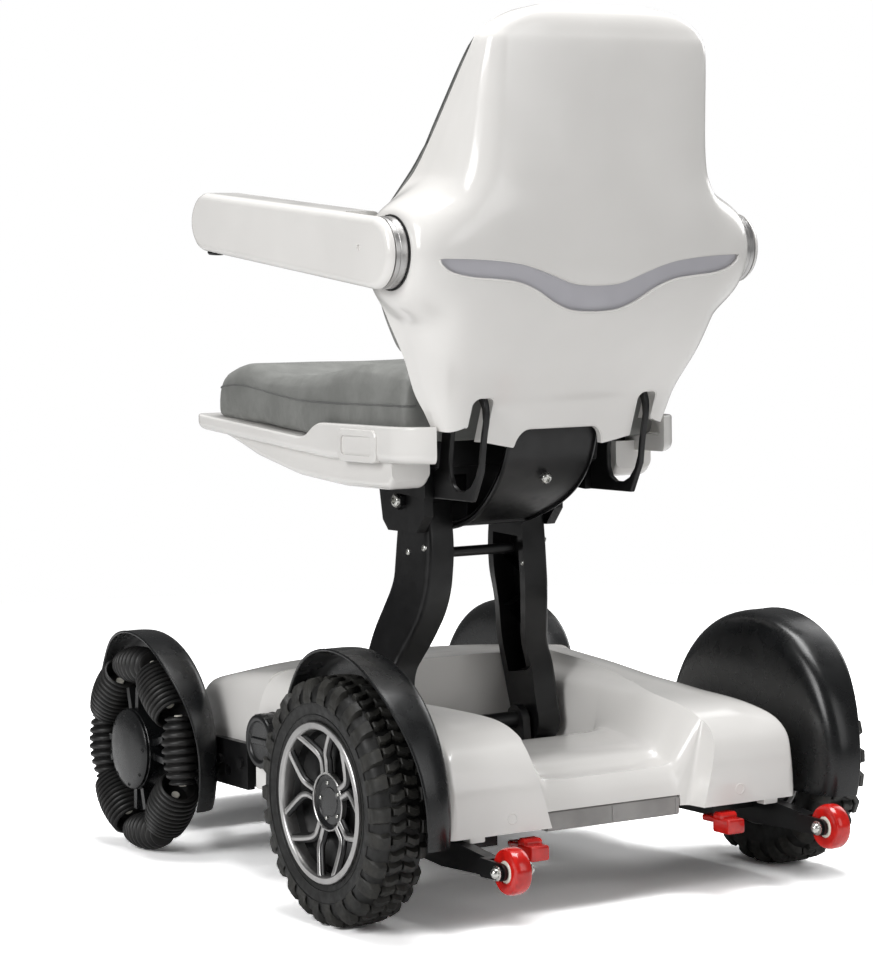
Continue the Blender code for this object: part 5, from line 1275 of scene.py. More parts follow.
# Tables up a leg, by the share of its length: its bow ahead, its place sideways and its width
LEG_BOW = [(0.0, 0.0), (0.12, 0.6), (0.25, 1.0), (0.36, 0.9), (0.46, 0.4), (0.60, -0.1), (1.0, 0.0)]
LEG_BOW_DEPTH = 0.022
LEG_SIDE = [(0.0, LEG_FOOT_X), (0.22, LEG_FOOT_X), (0.60, 0.069), (0.78, LEG_HEAD_X)]
LEG_WIDE = [(0.0, LEG_FOOT_WIDTH), (0.32, 0.0663), (0.60, 0.078), (0.80, 0.078), (1.0, LEG_HEAD_WIDTH)]
LEG_STEPS = 40


def leg_line():
    """Points up a leg's middle line: x, forward, z and half its width there."""
    foot = Vector(LEG_FOOT)
    span = Vector(LEG_HEAD) - foot
    ahead = Vector((span.y, -span.x)).normalized()
    points = []
    for i in range(LEG_STEPS + 1):
        t = i / LEG_STEPS
        place = foot + span * t + ahead * (LEG_BOW_DEPTH * soft_read(t, LEG_BOW, 0.12))
        points.append((soft_read(t, LEG_SIDE, 0.14), place.x, place.y, soft_read(t, LEG_WIDE, 0.14) / 2))
    return points


def leg_ring(s, point, along, section):
    """A cross-section of a leg, across its middle line, from points of (ahead of the line, x)."""
    _, forward, z, _ = point
    return [at(s * x, forward + along.y * across, z - along.x * across) for across, x in section]


def make_leg(s, side):
    """A cast leg: a smooth outer face, and a hollow inner face with stiffening ribs."""
    line = leg_line()
    half_thick = LEG_THICKNESS / 2
    corner = arc((0.0, 0.0), 1.0, 22.5, 90, 3)
    rings = []
    recess = []
    for i, (x, _, _, half) in enumerate(line):
        before = line[max(i - 1, 0)]
        after = line[min(i + 1, len(line) - 1)]
        along = Vector((after[1] - before[1], after[2] - before[2])).normalized()
        inner = x - half_thick
        outer = x + half_thick
        front = [(half, inner), (half, outer - 0.007)]
        front += [(half - 0.008 * (1.0 - a), outer - 0.007 * (1.0 - b)) for a, b in corner]
        section = front + [(-across, sideways) for across, sideways in reversed(front)]
        rings.append(leg_ring(s, line[i], along, section))
        if 8 <= i <= 33:
            web = half - 0.010
            floor = web - 0.003
            mouth = inner - 0.01
            depth = outer - 0.01
            hollow = [(-web, mouth), (web, mouth), (floor, depth), (-floor, depth)]
            recess.append(leg_ring(s, line[i], along, hollow))
    bm = bmesh.new()
    add_loft(bm, rings)
    leg = new_object(bm, "leg")
    eyes = []
    for place, x, width in ((LEG_FOOT, LEG_FOOT_X, LEG_FOOT_WIDTH), (LEG_HEAD, LEG_HEAD_X, LEG_HEAD_WIDTH)):
        bm = bmesh.new()
        radius = width / 2
        profile = [
            (0.0, -half_thick), (radius, -half_thick), (radius, half_thick - 0.006),
            (radius - 0.002, half_thick - 0.002), (radius - 0.006, half_thick), (0.0, half_thick),
        ]
        add_turned(bm, profile, at(s * x, *place), (s, 0, 0), 48)
        eyes.append(new_object(bm, "cutter"))
    carve(leg, eyes, "UNION")
    foot_hole = cut_round(at(s * LEG_FOOT_X, *LEG_FOOT), (1, 0, 0), 0.0108, 0.04, 32)
    head_hole = cut_round(at(s * LEG_HEAD_X, *LEG_HEAD), (1, 0, 0), 0.0088, 0.05, 32)
    carve(leg, [cut_loft(recess), foot_hole, head_hole])
    round_edges(leg, 0.9 * MM, 40.0)
    fit(leg, f"leg_{side}_casting", "legs", STEEL, [f"leg_{side}"], 35.0)
    make_leg_details(s, side, line)


def make_leg_details(s, side, line):
    """The ribs inside a leg's hollow face, its small screws and the bolt of its head."""
    bm = bmesh.new()
    for i in (12, 17, 22, 27):
        x, forward, z, half = line[i]
        lean = 0.014 if i % 2 else -0.014
        reach = half - 0.009
        ends = [at(s * (x + 0.001), forward + way * reach, z + way * lean) for way in (-1, 1)]
        add_tube(bm, ends, 0.0062, 4, flat=0.28, up=(0, 0, 1))
    fit(bm, f"leg_{side}_ribs", "legs", STEEL)
    bm = bmesh.new()
    for place in ((0.1685, 0.3828), (0.2043, 0.3758)):
        add_screw(bm, at(s * (LEG_HEAD_X + LEG_THICKNESS / 2), *place), (s, 0, 0), 0.0042)
    add_screw(bm, at(s * 0.052, 0.1635, 0.3570), (0, 1, 0), 0.0040)
    fit(bm, f"leg_{side}_screws", "legs", ZINC)
    bm = bmesh.new()
    add_screw(bm, at(s * 0.1022, *LEG_HEAD), (s, 0, 0), 0.0085)
    fit(bm, f"leg_{side}_head_bolt", "seat", ZINC)


def near_hinge(points):
    """Places in the side view from distances ahead of the backrest's hinge and above it."""
    return [(HINGE[0] + forward, HINGE[1] + z) for forward, z in points]


def make_side_bracket(s, side):
    """The looped steel bracket from the seat frame to the backrest's hinge, its corners rounded."""
    low, high = s * 0.1040, s * 0.1105
    foot = 0.0997
    outline = near_hinge([(-0.0327, -0.183)]) + [(foot, 0.445), (foot, 0.476)]
    front = [(0.0363, -0.147), (0.0293, -0.114), (0.0230, -0.080), (0.0185, -0.059)]
    outline += cut_corners(near_hinge(front), 2)
    outline += arc(HINGE, 0.0155, -8, 188, 14)
    outline += cut_corners(near_hinge([
        (-0.0227, -0.0305), (-0.0420, -0.0400), (-0.0600, -0.0640), (-0.0660, -0.0850), (-0.0572, -0.114),
        (-0.0516, -0.149),
    ]), 2)
    window = softer(near_hinge([
        (-0.0457, -0.149), (-0.0247, -0.1715), (0.0053, -0.1715), (0.0153, -0.149), (0.0071, -0.099),
        (-0.0093, -0.066), (-0.0450, -0.0620), (-0.0597, -0.0850), (-0.0515, -0.114),
    ]))
    bm = bmesh.new()
    add_plate(bm, outline, low, high)
    bracket = new_object(bm, "bracket")
    eye = cut_round(at(s * HINGE_X, *HINGE), (1, 0, 0), 0.0068, 0.03, 32)
    carve(bracket, [cut_plate(window, low - s * 0.01, high + s * 0.01), eye])
    round_edges(bracket, 1.6 * MM, 50.0, 3)
    fit(bracket, f"side_bracket_{side}_bar", "seat", STEEL, [f"side_bracket_{side}"], 40.0)

    bm = bmesh.new()
    lug = near_hinge([(-0.095, 0.022), (-0.088, -0.018), (-0.008, -0.016)])
    lug += arc(HINGE, 0.014, -75, 90, 11) + near_hinge([(-0.028, 0.022)])
    add_plate(bm, lug, s * 0.1205, s * 0.1295, 1.0 * MM)
    pin = [(0.0, -0.008), (0.006, -0.008), (0.006, 0.018), (0.0, 0.018)]
    add_turned(bm, pin, at(s * HINGE_X, *HINGE), (s, 0, 0), 28)
    fit(bm, f"backrest_hinge_lug_{side}", "backrest", WHITE)


BACK_BRACKET_LINE = [
    # forward, height and half width of the plate's middle line, from its lip down to the seat frame
    (0.0195, 0.5357, 0.060), (0.0225, 0.514, 0.060), (0.0345, 0.484, 0.060), (0.056, 0.4573, 0.059),
    (0.0855, 0.436, 0.055), (0.1225, 0.4192, 0.048), (0.158, 0.409, 0.0455), (0.190, 0.404, 0.0455),
]


def strip_ring(point, along):
    """A cross-section of the plate: 9 mm thick, with its long edges rolled round."""
    forward, z, half = point
    up = Vector((-along.y, along.x)) * 0.0045
    ring = []
    for side, level in ((-1, -1), (1, -1), (1, 1), (-1, 1)):
        for k in range(4):
            turn = math.radians(30 * k)
            inset, height = math.cos(turn), math.sin(turn)
            if side * level > 0:
                inset, height = height, inset
            x = side * (half - 0.0035 * (1 - inset))
            share = level * (1 - 0.75 * (1 - height))
            ring.append(at(x, forward + up.x * share, z + up.y * share))
    return ring


def make_back_bracket():
    """The pressed plate that curves up from the seat frame to the shell's notch, with its lip and screw."""
    line = smooth_line(BACK_BRACKET_LINE, 6)
    rings = []
    for i, point in enumerate(line):
        before = line[max(i - 1, 0)]
        after = line[min(i + 1, len(line) - 1)]
        along = Vector((after[0] - before[0], after[1] - before[1])).normalized()
        rings.append(strip_ring(point, along))
    bm = bmesh.new()
    add_loft(bm, rings)
    add_tube(bm, [at(-0.058, 0.0217, 0.5337), at(0.058, 0.0217, 0.5337)], 0.0085, 24)
    add_block(bm, (-0.040, 0.142, 0.408), (0.040, 0.184, 0.4705), 0.002)
    fit(bm, "back_bracket_pressing", "seat", STEEL, ["back_bracket"], 35.0)
    bm = bmesh.new()
    add_screw(bm, at(0.0, 0.0360, 0.4655), (0.0, 0.9, -0.42), 0.0065)
    fit(bm, "back_bracket_screw", "seat", ZINC)


# Body covers

def soft_min(a, b, width=0.008):
    """The smaller of two values, with the corner between them rounded."""
    share = min(max(0.5 + 0.5 * (b - a) / width, 0.0), 1.0)
    return b * (1 - share) + a * share - width * share * (1 - share)


COVER_WALL = 3.0 * MM
BATTERY_RADIUS = 0.032
FRONT_COVER_EDGE = 0.1405
BODY_STATIONS = [
    # forward, greatest height there, height of the crown over the sides, half width
    (BODY_REAR, 0.124, BODY_CROWN, 0.2215), (-0.1166, 0.136, BODY_CROWN, 0.2245),
    (-0.1150, 0.153, BODY_CROWN, 0.2278), (-0.1090, 0.174, BODY_CROWN, 0.2325),
    (-0.0950, 0.190, BODY_CROWN, BODY_HALF), (-0.0710, 0.2015, BODY_CROWN, BODY_HALF),
    (-0.0390, 0.211, 0.2110, BODY_HALF), (0.0100, 0.222, 0.2130, BODY_HALF),
    (0.0600, 0.245, 0.2165, BODY_HALF), (0.1200, 0.300, 0.2204, BODY_HALF),
    (0.2000, 0.300, 0.2282, BODY_HALF), (0.2600, 0.300, 0.2325, BODY_HALF),
    (0.3082, 0.300, 0.2360, BODY_HALF),
]


def body_ring(forward, cap, crown, half, wall):
    """A cross-section of the rear cover's outside, or of its inside when wall isn't 0."""
    side = half - wall
    top = crown - wall
    middle = soft_read(forward, [(0.10, top), (0.20, BODY_CENTRE_TOP - wall)], 0.03)
    left = cut_corners([
        (side, BODY_BOTTOM - 10 * wall), (side, BODY_BOTTOM + 0.012), (side - 0.0015, top - 0.070),
        (side - 0.007, top - 0.034), (side - 0.021, top - 0.008), (side - 0.050, top + 0.0012),
        (0.150, top + 0.2 * (middle - top)), (0.080, middle), (0.0, middle),
    ], 3)
    capped = [at(x, forward, soft_min(z, cap - wall)) for x, z in left]
    return capped + [at(-p.x, forward, p.z) for p in reversed(capped[:-1])]


def body_solid(wall):
    """The rear cover's outside as a solid, or the hollow inside it, a wall smaller."""
    rings = []
    for forward, cap, crown, half in smooth_line(BODY_STATIONS, 5):
        place = forward + wall if forward < 0.2 else forward + 5 * wall
        rings.append(body_ring(place, cap, crown, half, wall))
    bm = bmesh.new()
    add_loft(bm, rings)
    return new_object(bm, "body")


def pocket_solid(grow):
    """The pocket that the legs fold into, as a solid to cut away, made larger all round by grow."""
    below = BODY_BOTTOM - 0.050
    floor = cut_corners([
        (BODY_REAR - 0.020, below), (-0.100, below), (POCKET_REAR - 0.0005 + grow, below),
        (POCKET_REAR + grow, STEP_TOP), (-0.054, STEP_TOP + 0.002), (-0.038, 0.161),
        (0.030, 0.161), (0.120 + grow, 0.161), (0.136 + grow, 0.126), (POCKET_FRONT + grow, 0.126),
    ], 2)
    rings = []
    for forward, height in floor:
        low = height - grow
        half = grow + soft_read(forward, [(POCKET_REAR, 0.090), (0.0, 0.097), (0.120, 0.1225)], 0.03)
        widening = [(BODY_REAR, 0.044), (-0.070, 0.028), (-0.030, 0.018), (0.120, 0.010)]
        brim = half + soft_read(forward, widening, 0.02)
        left = cut_corners([
            (0.0, low), (half - 0.010, low), (half, low + 0.008), (brim - 0.004, BODY_CROWN - 0.014),
            (brim + 0.004, BODY_CROWN + 0.001), (brim + 0.026, BODY_CROWN + 0.012),
            (brim + 0.034, BODY_CROWN + 0.060),
        ], 2)
        right = [(-x, z) for x, z in reversed(left[1:])]
        rings.append([at(x, forward, z) for x, z in left + right])
    return cut_loft(rings)


def make_rear_cover():
    """The white rear cover: a smooth moulding with the pocket, the rear rail, and battery and axle holes."""
    cover = body_solid(0.0)
    hollow = body_solid(COVER_WALL)
    carve(hollow, [pocket_solid(COVER_WALL)])
    cutters = [pocket_solid(0.0), hollow]
    cutters.append(cut_block((-0.0895, POCKET_REAR - 0.01, 0.05), (0.0895, -0.036, STEP_BOTTOM)))
    for s, _ in SIDES:
        cutters.append(cut_block((s * 0.063, 0.150, 0.08), (s * 0.1195, POCKET_FRONT - 0.0065, 0.145)))
        cutters.append(cut_round(at(s * 0.24, *BATTERY), (1, 0, 0), BATTERY_RADIUS + 0.0008, 0.04))
        cutters.append(cut_block((s * 0.20, -0.022, 0.05), (s * 0.26, 0.022, 0.1535), 0.006))
    carve(cover, cutters)
    fit(cover, "rear_body_cover_moulding", "chassis", WHITE, ["rear_body_cover"], 30.0)

    bm = bmesh.new()
    plug = [
        (0.0, -0.0005), (0.0042, -0.0005), (0.0050, 0.0006), (0.0062, 0.0006), (0.0068, 0.0),
        (0.0068, -0.002), (0.0, -0.002),
    ]
    for s, _ in SIDES:
        add_turned(bm, plug, at(s * 0.152, BODY_REAR + 0.0002, 0.116), (0, 1, 0), 28)
        add_block(bm, (s * 0.186, BODY_REAR + 0.001, 0.094), (s * 0.206, BODY_REAR + 0.016, 0.104), 0.002)
    fit(bm, "rear_body_cover_clips", "chassis", WHITE)


FRONT_STATIONS = [
    # forward, height in the middle, height of the crown over the sides, half width
    (BODY_SEAM + 0.0003, BODY_CENTRE_TOP, 0.2370, 0.222), (0.345, 0.2378, 0.2335, 0.2205),
    (0.400, 0.235, 0.2275, 0.218), (0.450, 0.228, 0.2185, 0.214), (0.495, 0.216, 0.208, 0.206),
    (0.523, 0.196, 0.190, 0.192), (0.5385, 0.170, 0.165, 0.173), (BODY_FRONT, 0.1415, 0.1412, 0.152),
]


def make_front_cover():
    """The low white cover between the front wheels, rounded down to its nose."""
    rows = []
    for forward, middle, crown, half in smooth_line(FRONT_STATIONS, 5):
        span = max(crown - FRONT_COVER_EDGE, 0.0004)
        left = cut_corners([
            (0.0, middle), (0.5 * half, middle - 0.001), (0.84 * half, crown),
            (0.955 * half, crown - 0.05 * span), (0.996 * half, crown - 0.32 * span),
            (half, FRONT_COVER_EDGE),
        ], 3)
        right = [(-x, z) for x, z in reversed(left[1:])]
        rows.append([at(x, forward, z) for x, z in right + left])
    bm = bmesh.new()
    add_skin(bm, rows)
    face_towards(bm, (0, 0, 1))
    cover = new_object(bm, "cover")
    thicken(cover, COVER_WALL)
    fit(cover, "front_body_cover_moulding", "chassis", WHITE, ["front_body_cover"], 32.0)


def make_step():
    """The grey step below the rear rail, with its ribs."""
    bm = bmesh.new()
    add_block(bm, (-0.0885, -0.0870, 0.0900), (0.0885, -0.0400, STEP_BOTTOM - 0.0010), 0.0015, 3)
    for x in (-0.086, 0.0, 0.086):
        add_block(bm, (x - 0.0022, -0.0885, 0.0915), (x + 0.0022, -0.080, STEP_BOTTOM - 0.0025), 0.0008)
    fit(bm, "rear_step", "chassis", GREY, ["rear_step_plate"])


def make_battery(s, side):
    """The round end of a battery: a ribbed rim, a sunk face and a pull across it."""
    forward, height = BATTERY
    bm = bmesh.new()
    profile = [
        (0.0, -0.003), (0.0215, -0.003), (0.0230, -0.0022), (0.0240, -0.0006), (0.0255, 0.0), (0.0285, 0.0),
        (0.0305, -0.0007), (BATTERY_RADIUS, -0.0030), (BATTERY_RADIUS, -0.114), (0.0, -0.114),
    ]
    add_turned(bm, profile, at(s * 0.250, *BATTERY), (s, 0, 0), 64)
    pull_top = (s * 0.2496, forward + 0.019, height + 0.004)
    add_block(bm, (s * 0.2465, forward - 0.019, height - 0.004), pull_top, 0.0014, 3)
    inner_ends = arc(BATTERY, 0.0317, 0, 345, 23)
    outer_ends = arc(BATTERY, 0.0312, 0, 345, 23)
    for near, far in zip(inner_ends, outer_ends):
        add_tube(bm, [at(s * 0.2405, *near), at(s * 0.2480, *far)], 0.8 * MM, 6)
    fit(bm, f"battery_{side}_case", "chassis", BLACK, [f"battery_{side}"])


def make_controller():
    """The motor controller's finned case."""
    bm = bmesh.new()
    add_block(bm, (-0.075, 0.385, 0.1240), (0.075, 0.4750, 0.1520), 0.003, 3)
    for k in range(11):
        x = -0.050 + 0.010 * k
        add_block(bm, (x - 0.0012, 0.390, 0.150), (x + 0.0012, 0.470, 0.1600), 0.0006)
    fit(bm, "motor_controller_case", "chassis", GREY, ["motor_controller"])


# Wheel covers

# Inner radius, x of the lip, x of the wall, and the angle up from straight ahead where the band ends
REAR_FENDER = (WHEEL_RADIUS + 0.026, 0.306, 0.2465, 184.0)
FRONT_FENDER = (FRONT_RADIUS + 0.0170, 0.290, 0.2355, 197.0)
FENDER_WALL = 3.0 * MM
FENDER_FIRST_DEG = 22
FENDER_BOW = 0.022
FENDER_LIP_BACK = [
    # angle up from straight ahead, how far the lip draws back towards the wall
    (22, FENDER_BOW), (45, 0.75 * FENDER_BOW), (68, 0.2 * FENDER_BOW), (90, 0.0), (130, 0.0),
    (150, 0.45 * FENDER_BOW), (167, 0.8 * FENDER_BOW), (197, FENDER_BOW),
]


def fender_section(inner, reach):
    """A fender's cross-section as (radius, distance outside its wall): the skin and then the inside."""
    outer = inner + FENDER_WALL
    skin = cut_corners([
        (outer - 0.0008, reach), (outer, reach - 0.001), (outer, 0.0210), (outer - 0.004, 0.0095),
        (outer - 0.014, 0.0025), (outer - 0.030, 0.0), (0.022, 0.0),
    ], 2)
    inside = cut_corners([
        (0.022, 0.003), (outer - 0.031, 0.003), (outer - 0.0155, 0.0055), (outer - 0.0065, 0.0120),
        (inner, 0.0220), (inner, reach - 0.001), (inner + 0.0008, reach),
    ], 2)
    return skin + inside


def make_fender(s, side, end, forward, height, inner, lip_x, wall_x, last_angle):
    """A moulded band over the tyre that turns into a domed wall, with a thickened lip along its edge."""
    outer = inner + FENDER_WALL
    centre = at(s * wall_x, forward, height)
    rings = []
    lip = []
    for angle in range(-40, 251, 4):
        reach = lip_x - wall_x - soft_read(angle, FENDER_LIP_BACK, 20)
        rings.append([wheel_point(centre, s * x, r, angle) for r, x in fender_section(inner, reach)])
        if FENDER_FIRST_DEG <= angle <= last_angle:
            lip.append(wheel_point(centre, s * (reach - 0.0012), outer - 0.0014, angle))
    bm = bmesh.new()
    add_loft(bm, rings)
    fender = new_object(bm, "fender")
    below = [(forward, height - 0.034)]
    for angle in (FENDER_FIRST_DEG, -30, -90, -130, last_angle):
        turn = math.radians(angle)
        below.append((forward + 3 * outer * math.cos(turn), height + 3 * outer * math.sin(turn)))
    carve(fender, [cut_plate(below, s * 0.20, s * 0.36)])
    fit(fender, f"{end}_fender_{side}_moulding", "chassis", BLACK, [f"{end}_fender_{side}"], 32.0)
    bm = bmesh.new()
    add_tube(bm, lip, 1.7 * MM, 10)
    fit(bm, f"{end}_fender_{side}_lip", "chassis", BLACK)
    bm = bmesh.new()
    for angle in (58, 105, 152):
        add_screw(bm, wheel_point(centre, s * 0.0035, outer - 0.045, angle), (s, 0, 0), 0.004)
    fit(bm, f"{end}_fender_{side}_screws", "chassis", ZINC)


# Rear wheels

LUG_COUNT = 26
LUG_BASE = 0.1275
CARCASS_HALF_PROFILE = [
    # radius and distance outside the wheel's middle, from the bead up the sidewall to the crown
    (RIM_RADIUS + 0.0003, 0.028), (RIM_RADIUS + 0.004, 0.0292), (RIM_RADIUS + 0.012, 0.0305), (0.108, 0.0315),
    (0.119, 0.0305), (0.1255, 0.0255), (0.1288, 0.015),
]


def add_lug(bm, centre, s, first, low, high, stations):
    """A tread block that starts at an angle in degrees, between two shares of the pitch.

    Its stations give its sideways place, top radius, base radius and how far round it is slanted.
    """
    pitch = 360 / LUG_COUNT
    rings = []
    for along, top, base, slant in stations:
        start = first + pitch * slant
        corners = ((low, base), (low + 0.10, top), (high - 0.10, top), (high, base))
        rings.append([wheel_point(centre, s * along, r, start + pitch * share) for share, r in corners])
    add_loft(bm, rings)


def middle_block(row, stagger):
    """The stations of a block beside the tread's middle."""
    top = WHEEL_RADIUS
    return [
        (row * 0.0012, top - 0.0012, LUG_BASE, stagger), (row * 0.0022, top, LUG_BASE, stagger + 0.01),
        (row * 0.0105, top - 0.0002, LUG_BASE, stagger + 0.13),
        (row * 0.0150, top - 0.0006, LUG_BASE, stagger + 0.10),
        (row * 0.0160, top - 0.0020, LUG_BASE, stagger + 0.10),
    ]


def shoulder_block(row, stagger):
    """The stations of a block that wraps over the tyre's shoulder."""
    top = WHEEL_RADIUS
    return [
        (row * 0.0185, top - 0.0022, LUG_BASE, stagger + 0.46),
        (row * 0.0198, top - 0.0010, LUG_BASE, stagger + 0.46),
        (row * 0.0262, top - 0.0030, 0.1235, stagger + 0.50),
        (row * 0.0310, top - 0.0085, 0.1185, stagger + 0.52),
        (row * 0.0328, top - 0.0150, 0.1130, stagger + 0.53),
        (row * 0.0322, top - 0.0235, 0.1080, stagger + 0.53),
    ]


def make_tyre(s, side):
    """The knobbly tyre: carcass, two staggered middle rows with sipes, and shoulder blocks."""
    centre = at(s * WHEEL_X, 0.0, WHEEL_RADIUS)
    bm = bmesh.new()
    half = CARCASS_HALF_PROFILE
    profile = cut_corners(half + [(0.1293, 0.0)] + [(radius, -along) for radius, along in reversed(half)], 1)
    add_turned(bm, profile, centre, (s, 0, 0), 144, closed=True)
    for radius, along in ((RIM_RADIUS + 0.0075, 0.0298), (RIM_RADIUS + 0.0205, 0.0315)):
        ridge = [wheel_point(centre, s * along, radius, 3 * k) for k in range(120)]
        add_tube(bm, ridge, 0.7 * MM, 6, closed=True)
    fit(bm, f"rear_tyre_{side}_carcass", f"rear_wheel_{side}", SIDEWALL, [f"rear_tyre_{side}"])

    bm = bmesh.new()
    for k in range(LUG_COUNT):
        first = 360 * k / LUG_COUNT
        for row, stagger in ((1, 0.0), (-1, 0.5)):
            for low, high in ((0.03, 0.42), (0.47, 0.86)):
                add_lug(bm, centre, s, first, low, high, middle_block(row, stagger))
            low, high = (0.02, 0.62) if k % 2 else (0.10, 0.70)
            add_lug(bm, centre, s, first, low, high, shoulder_block(row, stagger))
    fit(bm, f"rear_tyre_{side}_tread", f"rear_wheel_{side}", TREAD)


SPOKE_STEPS = [
    # how far out and how far aside half of a split spoke runs, from the hub to the rim
    (0.030, 0.0050), (0.038, 0.0051), (0.046, 0.0058), (0.053, 0.0092), (0.061, 0.0185), (0.069, 0.0295),
    (0.0742, 0.0372),
]
SPOKE_END = 0.083


def add_spokes(bm, centre, s, shift, radius, sides, flat):
    """Five split spokes as flattened tubes, shifted along the axle from their middle lines."""
    for k in range(5):
        angle = math.radians(90 + 72 * k - s * 8)
        out = Vector((0, -math.cos(angle), math.sin(angle)))
        wide = Vector((0, math.sin(angle), math.cos(angle)))
        for lean in (1, -1):
            path = []
            for reach, off in smooth_line(SPOKE_STEPS, 3):
                away = math.hypot(reach, off)
                along = 0.0196 + 0.0095 * min(max((away - 0.045) / 0.034, 0), 1)
                reach *= min(SPOKE_END / away, 1.0)
                path.append(centre + Vector((s * (along + shift), 0, 0)) + out * reach + wide * (lean * off))
            add_tube(bm, path, radius, sides, flat=flat, up=(1, 0, 0))


def make_rim(s, side):
    """The alloy wheel: a silver rim ring, a black dish and five split spokes edged in silver."""
    centre = at(s * WHEEL_X, 0.0, WHEEL_RADIUS)
    half = RIM_HALF
    bm = bmesh.new()
    add_turned(bm, [
        (0.0775, half - 0.0150), (0.0785, half - 0.0035), (0.0795, half - 0.0010), (0.0808, half),
        (0.0862, half), (0.0872, half - 0.0008), (RIM_RADIUS, half - 0.0025), (RIM_RADIUS, -half + 0.0025),
        (0.0872, -half + 0.0008), (0.0862, -half), (0.0808, -half), (0.0790, -half + 0.002),
        (0.0775, -half + 0.015),
    ], centre, (s, 0, 0), 120, closed=True)
    fit(bm, f"rear_rim_{side}_ring", f"rear_wheel_{side}", ALLOY, [f"rear_wheel_rim_{side}"])

    bm = bmesh.new()
    add_turned(bm, [
        (0.0, 0.0085), (0.034, 0.0085), (0.060, 0.0075), (0.074, 0.0105), (0.0776, 0.0175), (0.0776, -0.028),
        (0.074, -0.030), (0.050, -0.0245), (0.0, -0.0245),
    ], centre, (s, 0, 0), 96)
    add_spokes(bm, centre, s, -0.0035, 0.0056, 12, 0.62)
    fit(bm, f"rear_rim_{side}_dish", f"rear_wheel_{side}", STEEL)

    bm = bmesh.new()
    add_spokes(bm, centre, s, 0.0002, 0.0030, 10, 0.42)
    add_turned(bm, [
        (0.0292, 0.0165), (0.0296, 0.0196), (0.0303, 0.0203), (0.0312, 0.0203), (0.0318, 0.0196),
        (0.0318, 0.0140), (0.0292, 0.0140),
    ], centre, (s, 0, 0), 80, closed=True)
    fit(bm, f"rear_rim_{side}_spokes", f"rear_wheel_{side}", ALLOY)


def make_hub_cap(s, side):
    """The rear motor's hub cap and its ring of five screws."""
    centre = at(s * WHEEL_X, 0.0, WHEEL_RADIUS)
    bm = bmesh.new()
    add_turned(bm, [
        (0.0, 0.0168), (0.0150, 0.0168), (0.0160, 0.0160), (0.0245, 0.0158), (0.0262, 0.0172),
        (0.0288, 0.0180), (0.0294, 0.0168), (0.0294, 0.0060), (0.0, 0.0060),
    ], centre, (s, 0, 0), 72)
    fit(bm, f"rear_wheel_{side}_hub_cap", f"rear_wheel_{side}", BLACK)
    bm = bmesh.new()
    for k in range(5):
        add_screw(bm, wheel_point(centre, s * 0.0166, 0.0205, 72 * k + 6), (s, 0, 0), 0.0024)
    fit(bm, f"rear_wheel_{side}_screws", f"rear_wheel_{side}", ZINC)


# Front omnidirectional wheels

# Radius, half length and number of ribs
LARGE_ROLLER = (0.0295, 0.0345, 10)
SMALL_ROLLER = (0.023, 0.041, 8)
LARGE_RECESS = 0.016
GROOVE_DEPTH = 0.0042


def roller_wall(kind, reach, half, ribs):
    """A roller's profile: an end, the ribbed barrel that follows the wheel's own circle, and an end."""
    end = math.sqrt(FRONT_RADIUS**2 - half * half) - reach
    if kind == "large":
        start = [
            (0.0, half - LARGE_RECESS - 0.0005), (end - 0.0100, half - LARGE_RECESS),
            (end - 0.0042, half - 0.0005), (end - 0.0030, half), (end - 0.0012, half - 0.0003),
        ]
    else:
        start = [(0.0, half), (end - 0.0035, half), (end - 0.0012, half - 0.0008)]
    barrel = []
    for i in range(ribs * 8 + 1):
        along = (half - 0.0012) * (1 - 2 * i / (ribs * 8))
        skin = math.sqrt(FRONT_RADIUS**2 - along * along) - reach
        share = (i / 8) % 1.0
        groove = GROOVE_DEPTH * max(0.0, 1.0 - abs(share - 0.5) / 0.27) ** 0.6
        crown = 0.00018 * (2 * min(share, 1 - share) - 1) ** 2
        barrel.append((skin - groove - crown, along))
    return start + barrel + [(radius, -along) for radius, along in reversed(start)]


def make_roller(s, side, kind, number):
    """A free barrel with moulded ribs and a nylon bush in each end."""
    radius, half, ribs = LARGE_ROLLER if kind == "large" else SMALL_ROLLER
    reach = FRONT_RADIUS - radius
    angle = 90.0 * number - (50.0 if kind == "large" else 5.0)
    centre = wheel_point(at(s * FRONT_WHEEL_X, WHEELBASE, FRONT_RADIUS), 0.0, reach, angle)
    turn = math.radians(angle)
    tangent = Vector((0.0, math.sin(turn), math.cos(turn)))
    name = f"{kind}_roller_{side}_{number}"
    bm = bmesh.new()
    add_turned(bm, roller_wall(kind, reach, half, ribs), centre, tangent, 48)
    fit(bm, f"{name}_tyre", name, ROLLER, [name], 50.0)
    bm = bmesh.new()
    face = half - (LARGE_RECESS if kind == "large" else 0.0)
    bush = [
        (0.0, face + 0.0016), (0.0045, face + 0.0016), (0.0052, face + 0.0010), (0.0052, face - 0.001),
        (0.0, face - 0.001),
    ]
    for end in (1, -1):
        add_turned(bm, bush, centre, tangent * end, 24)
    fit(bm, f"{name}_bush", name, NYLON)


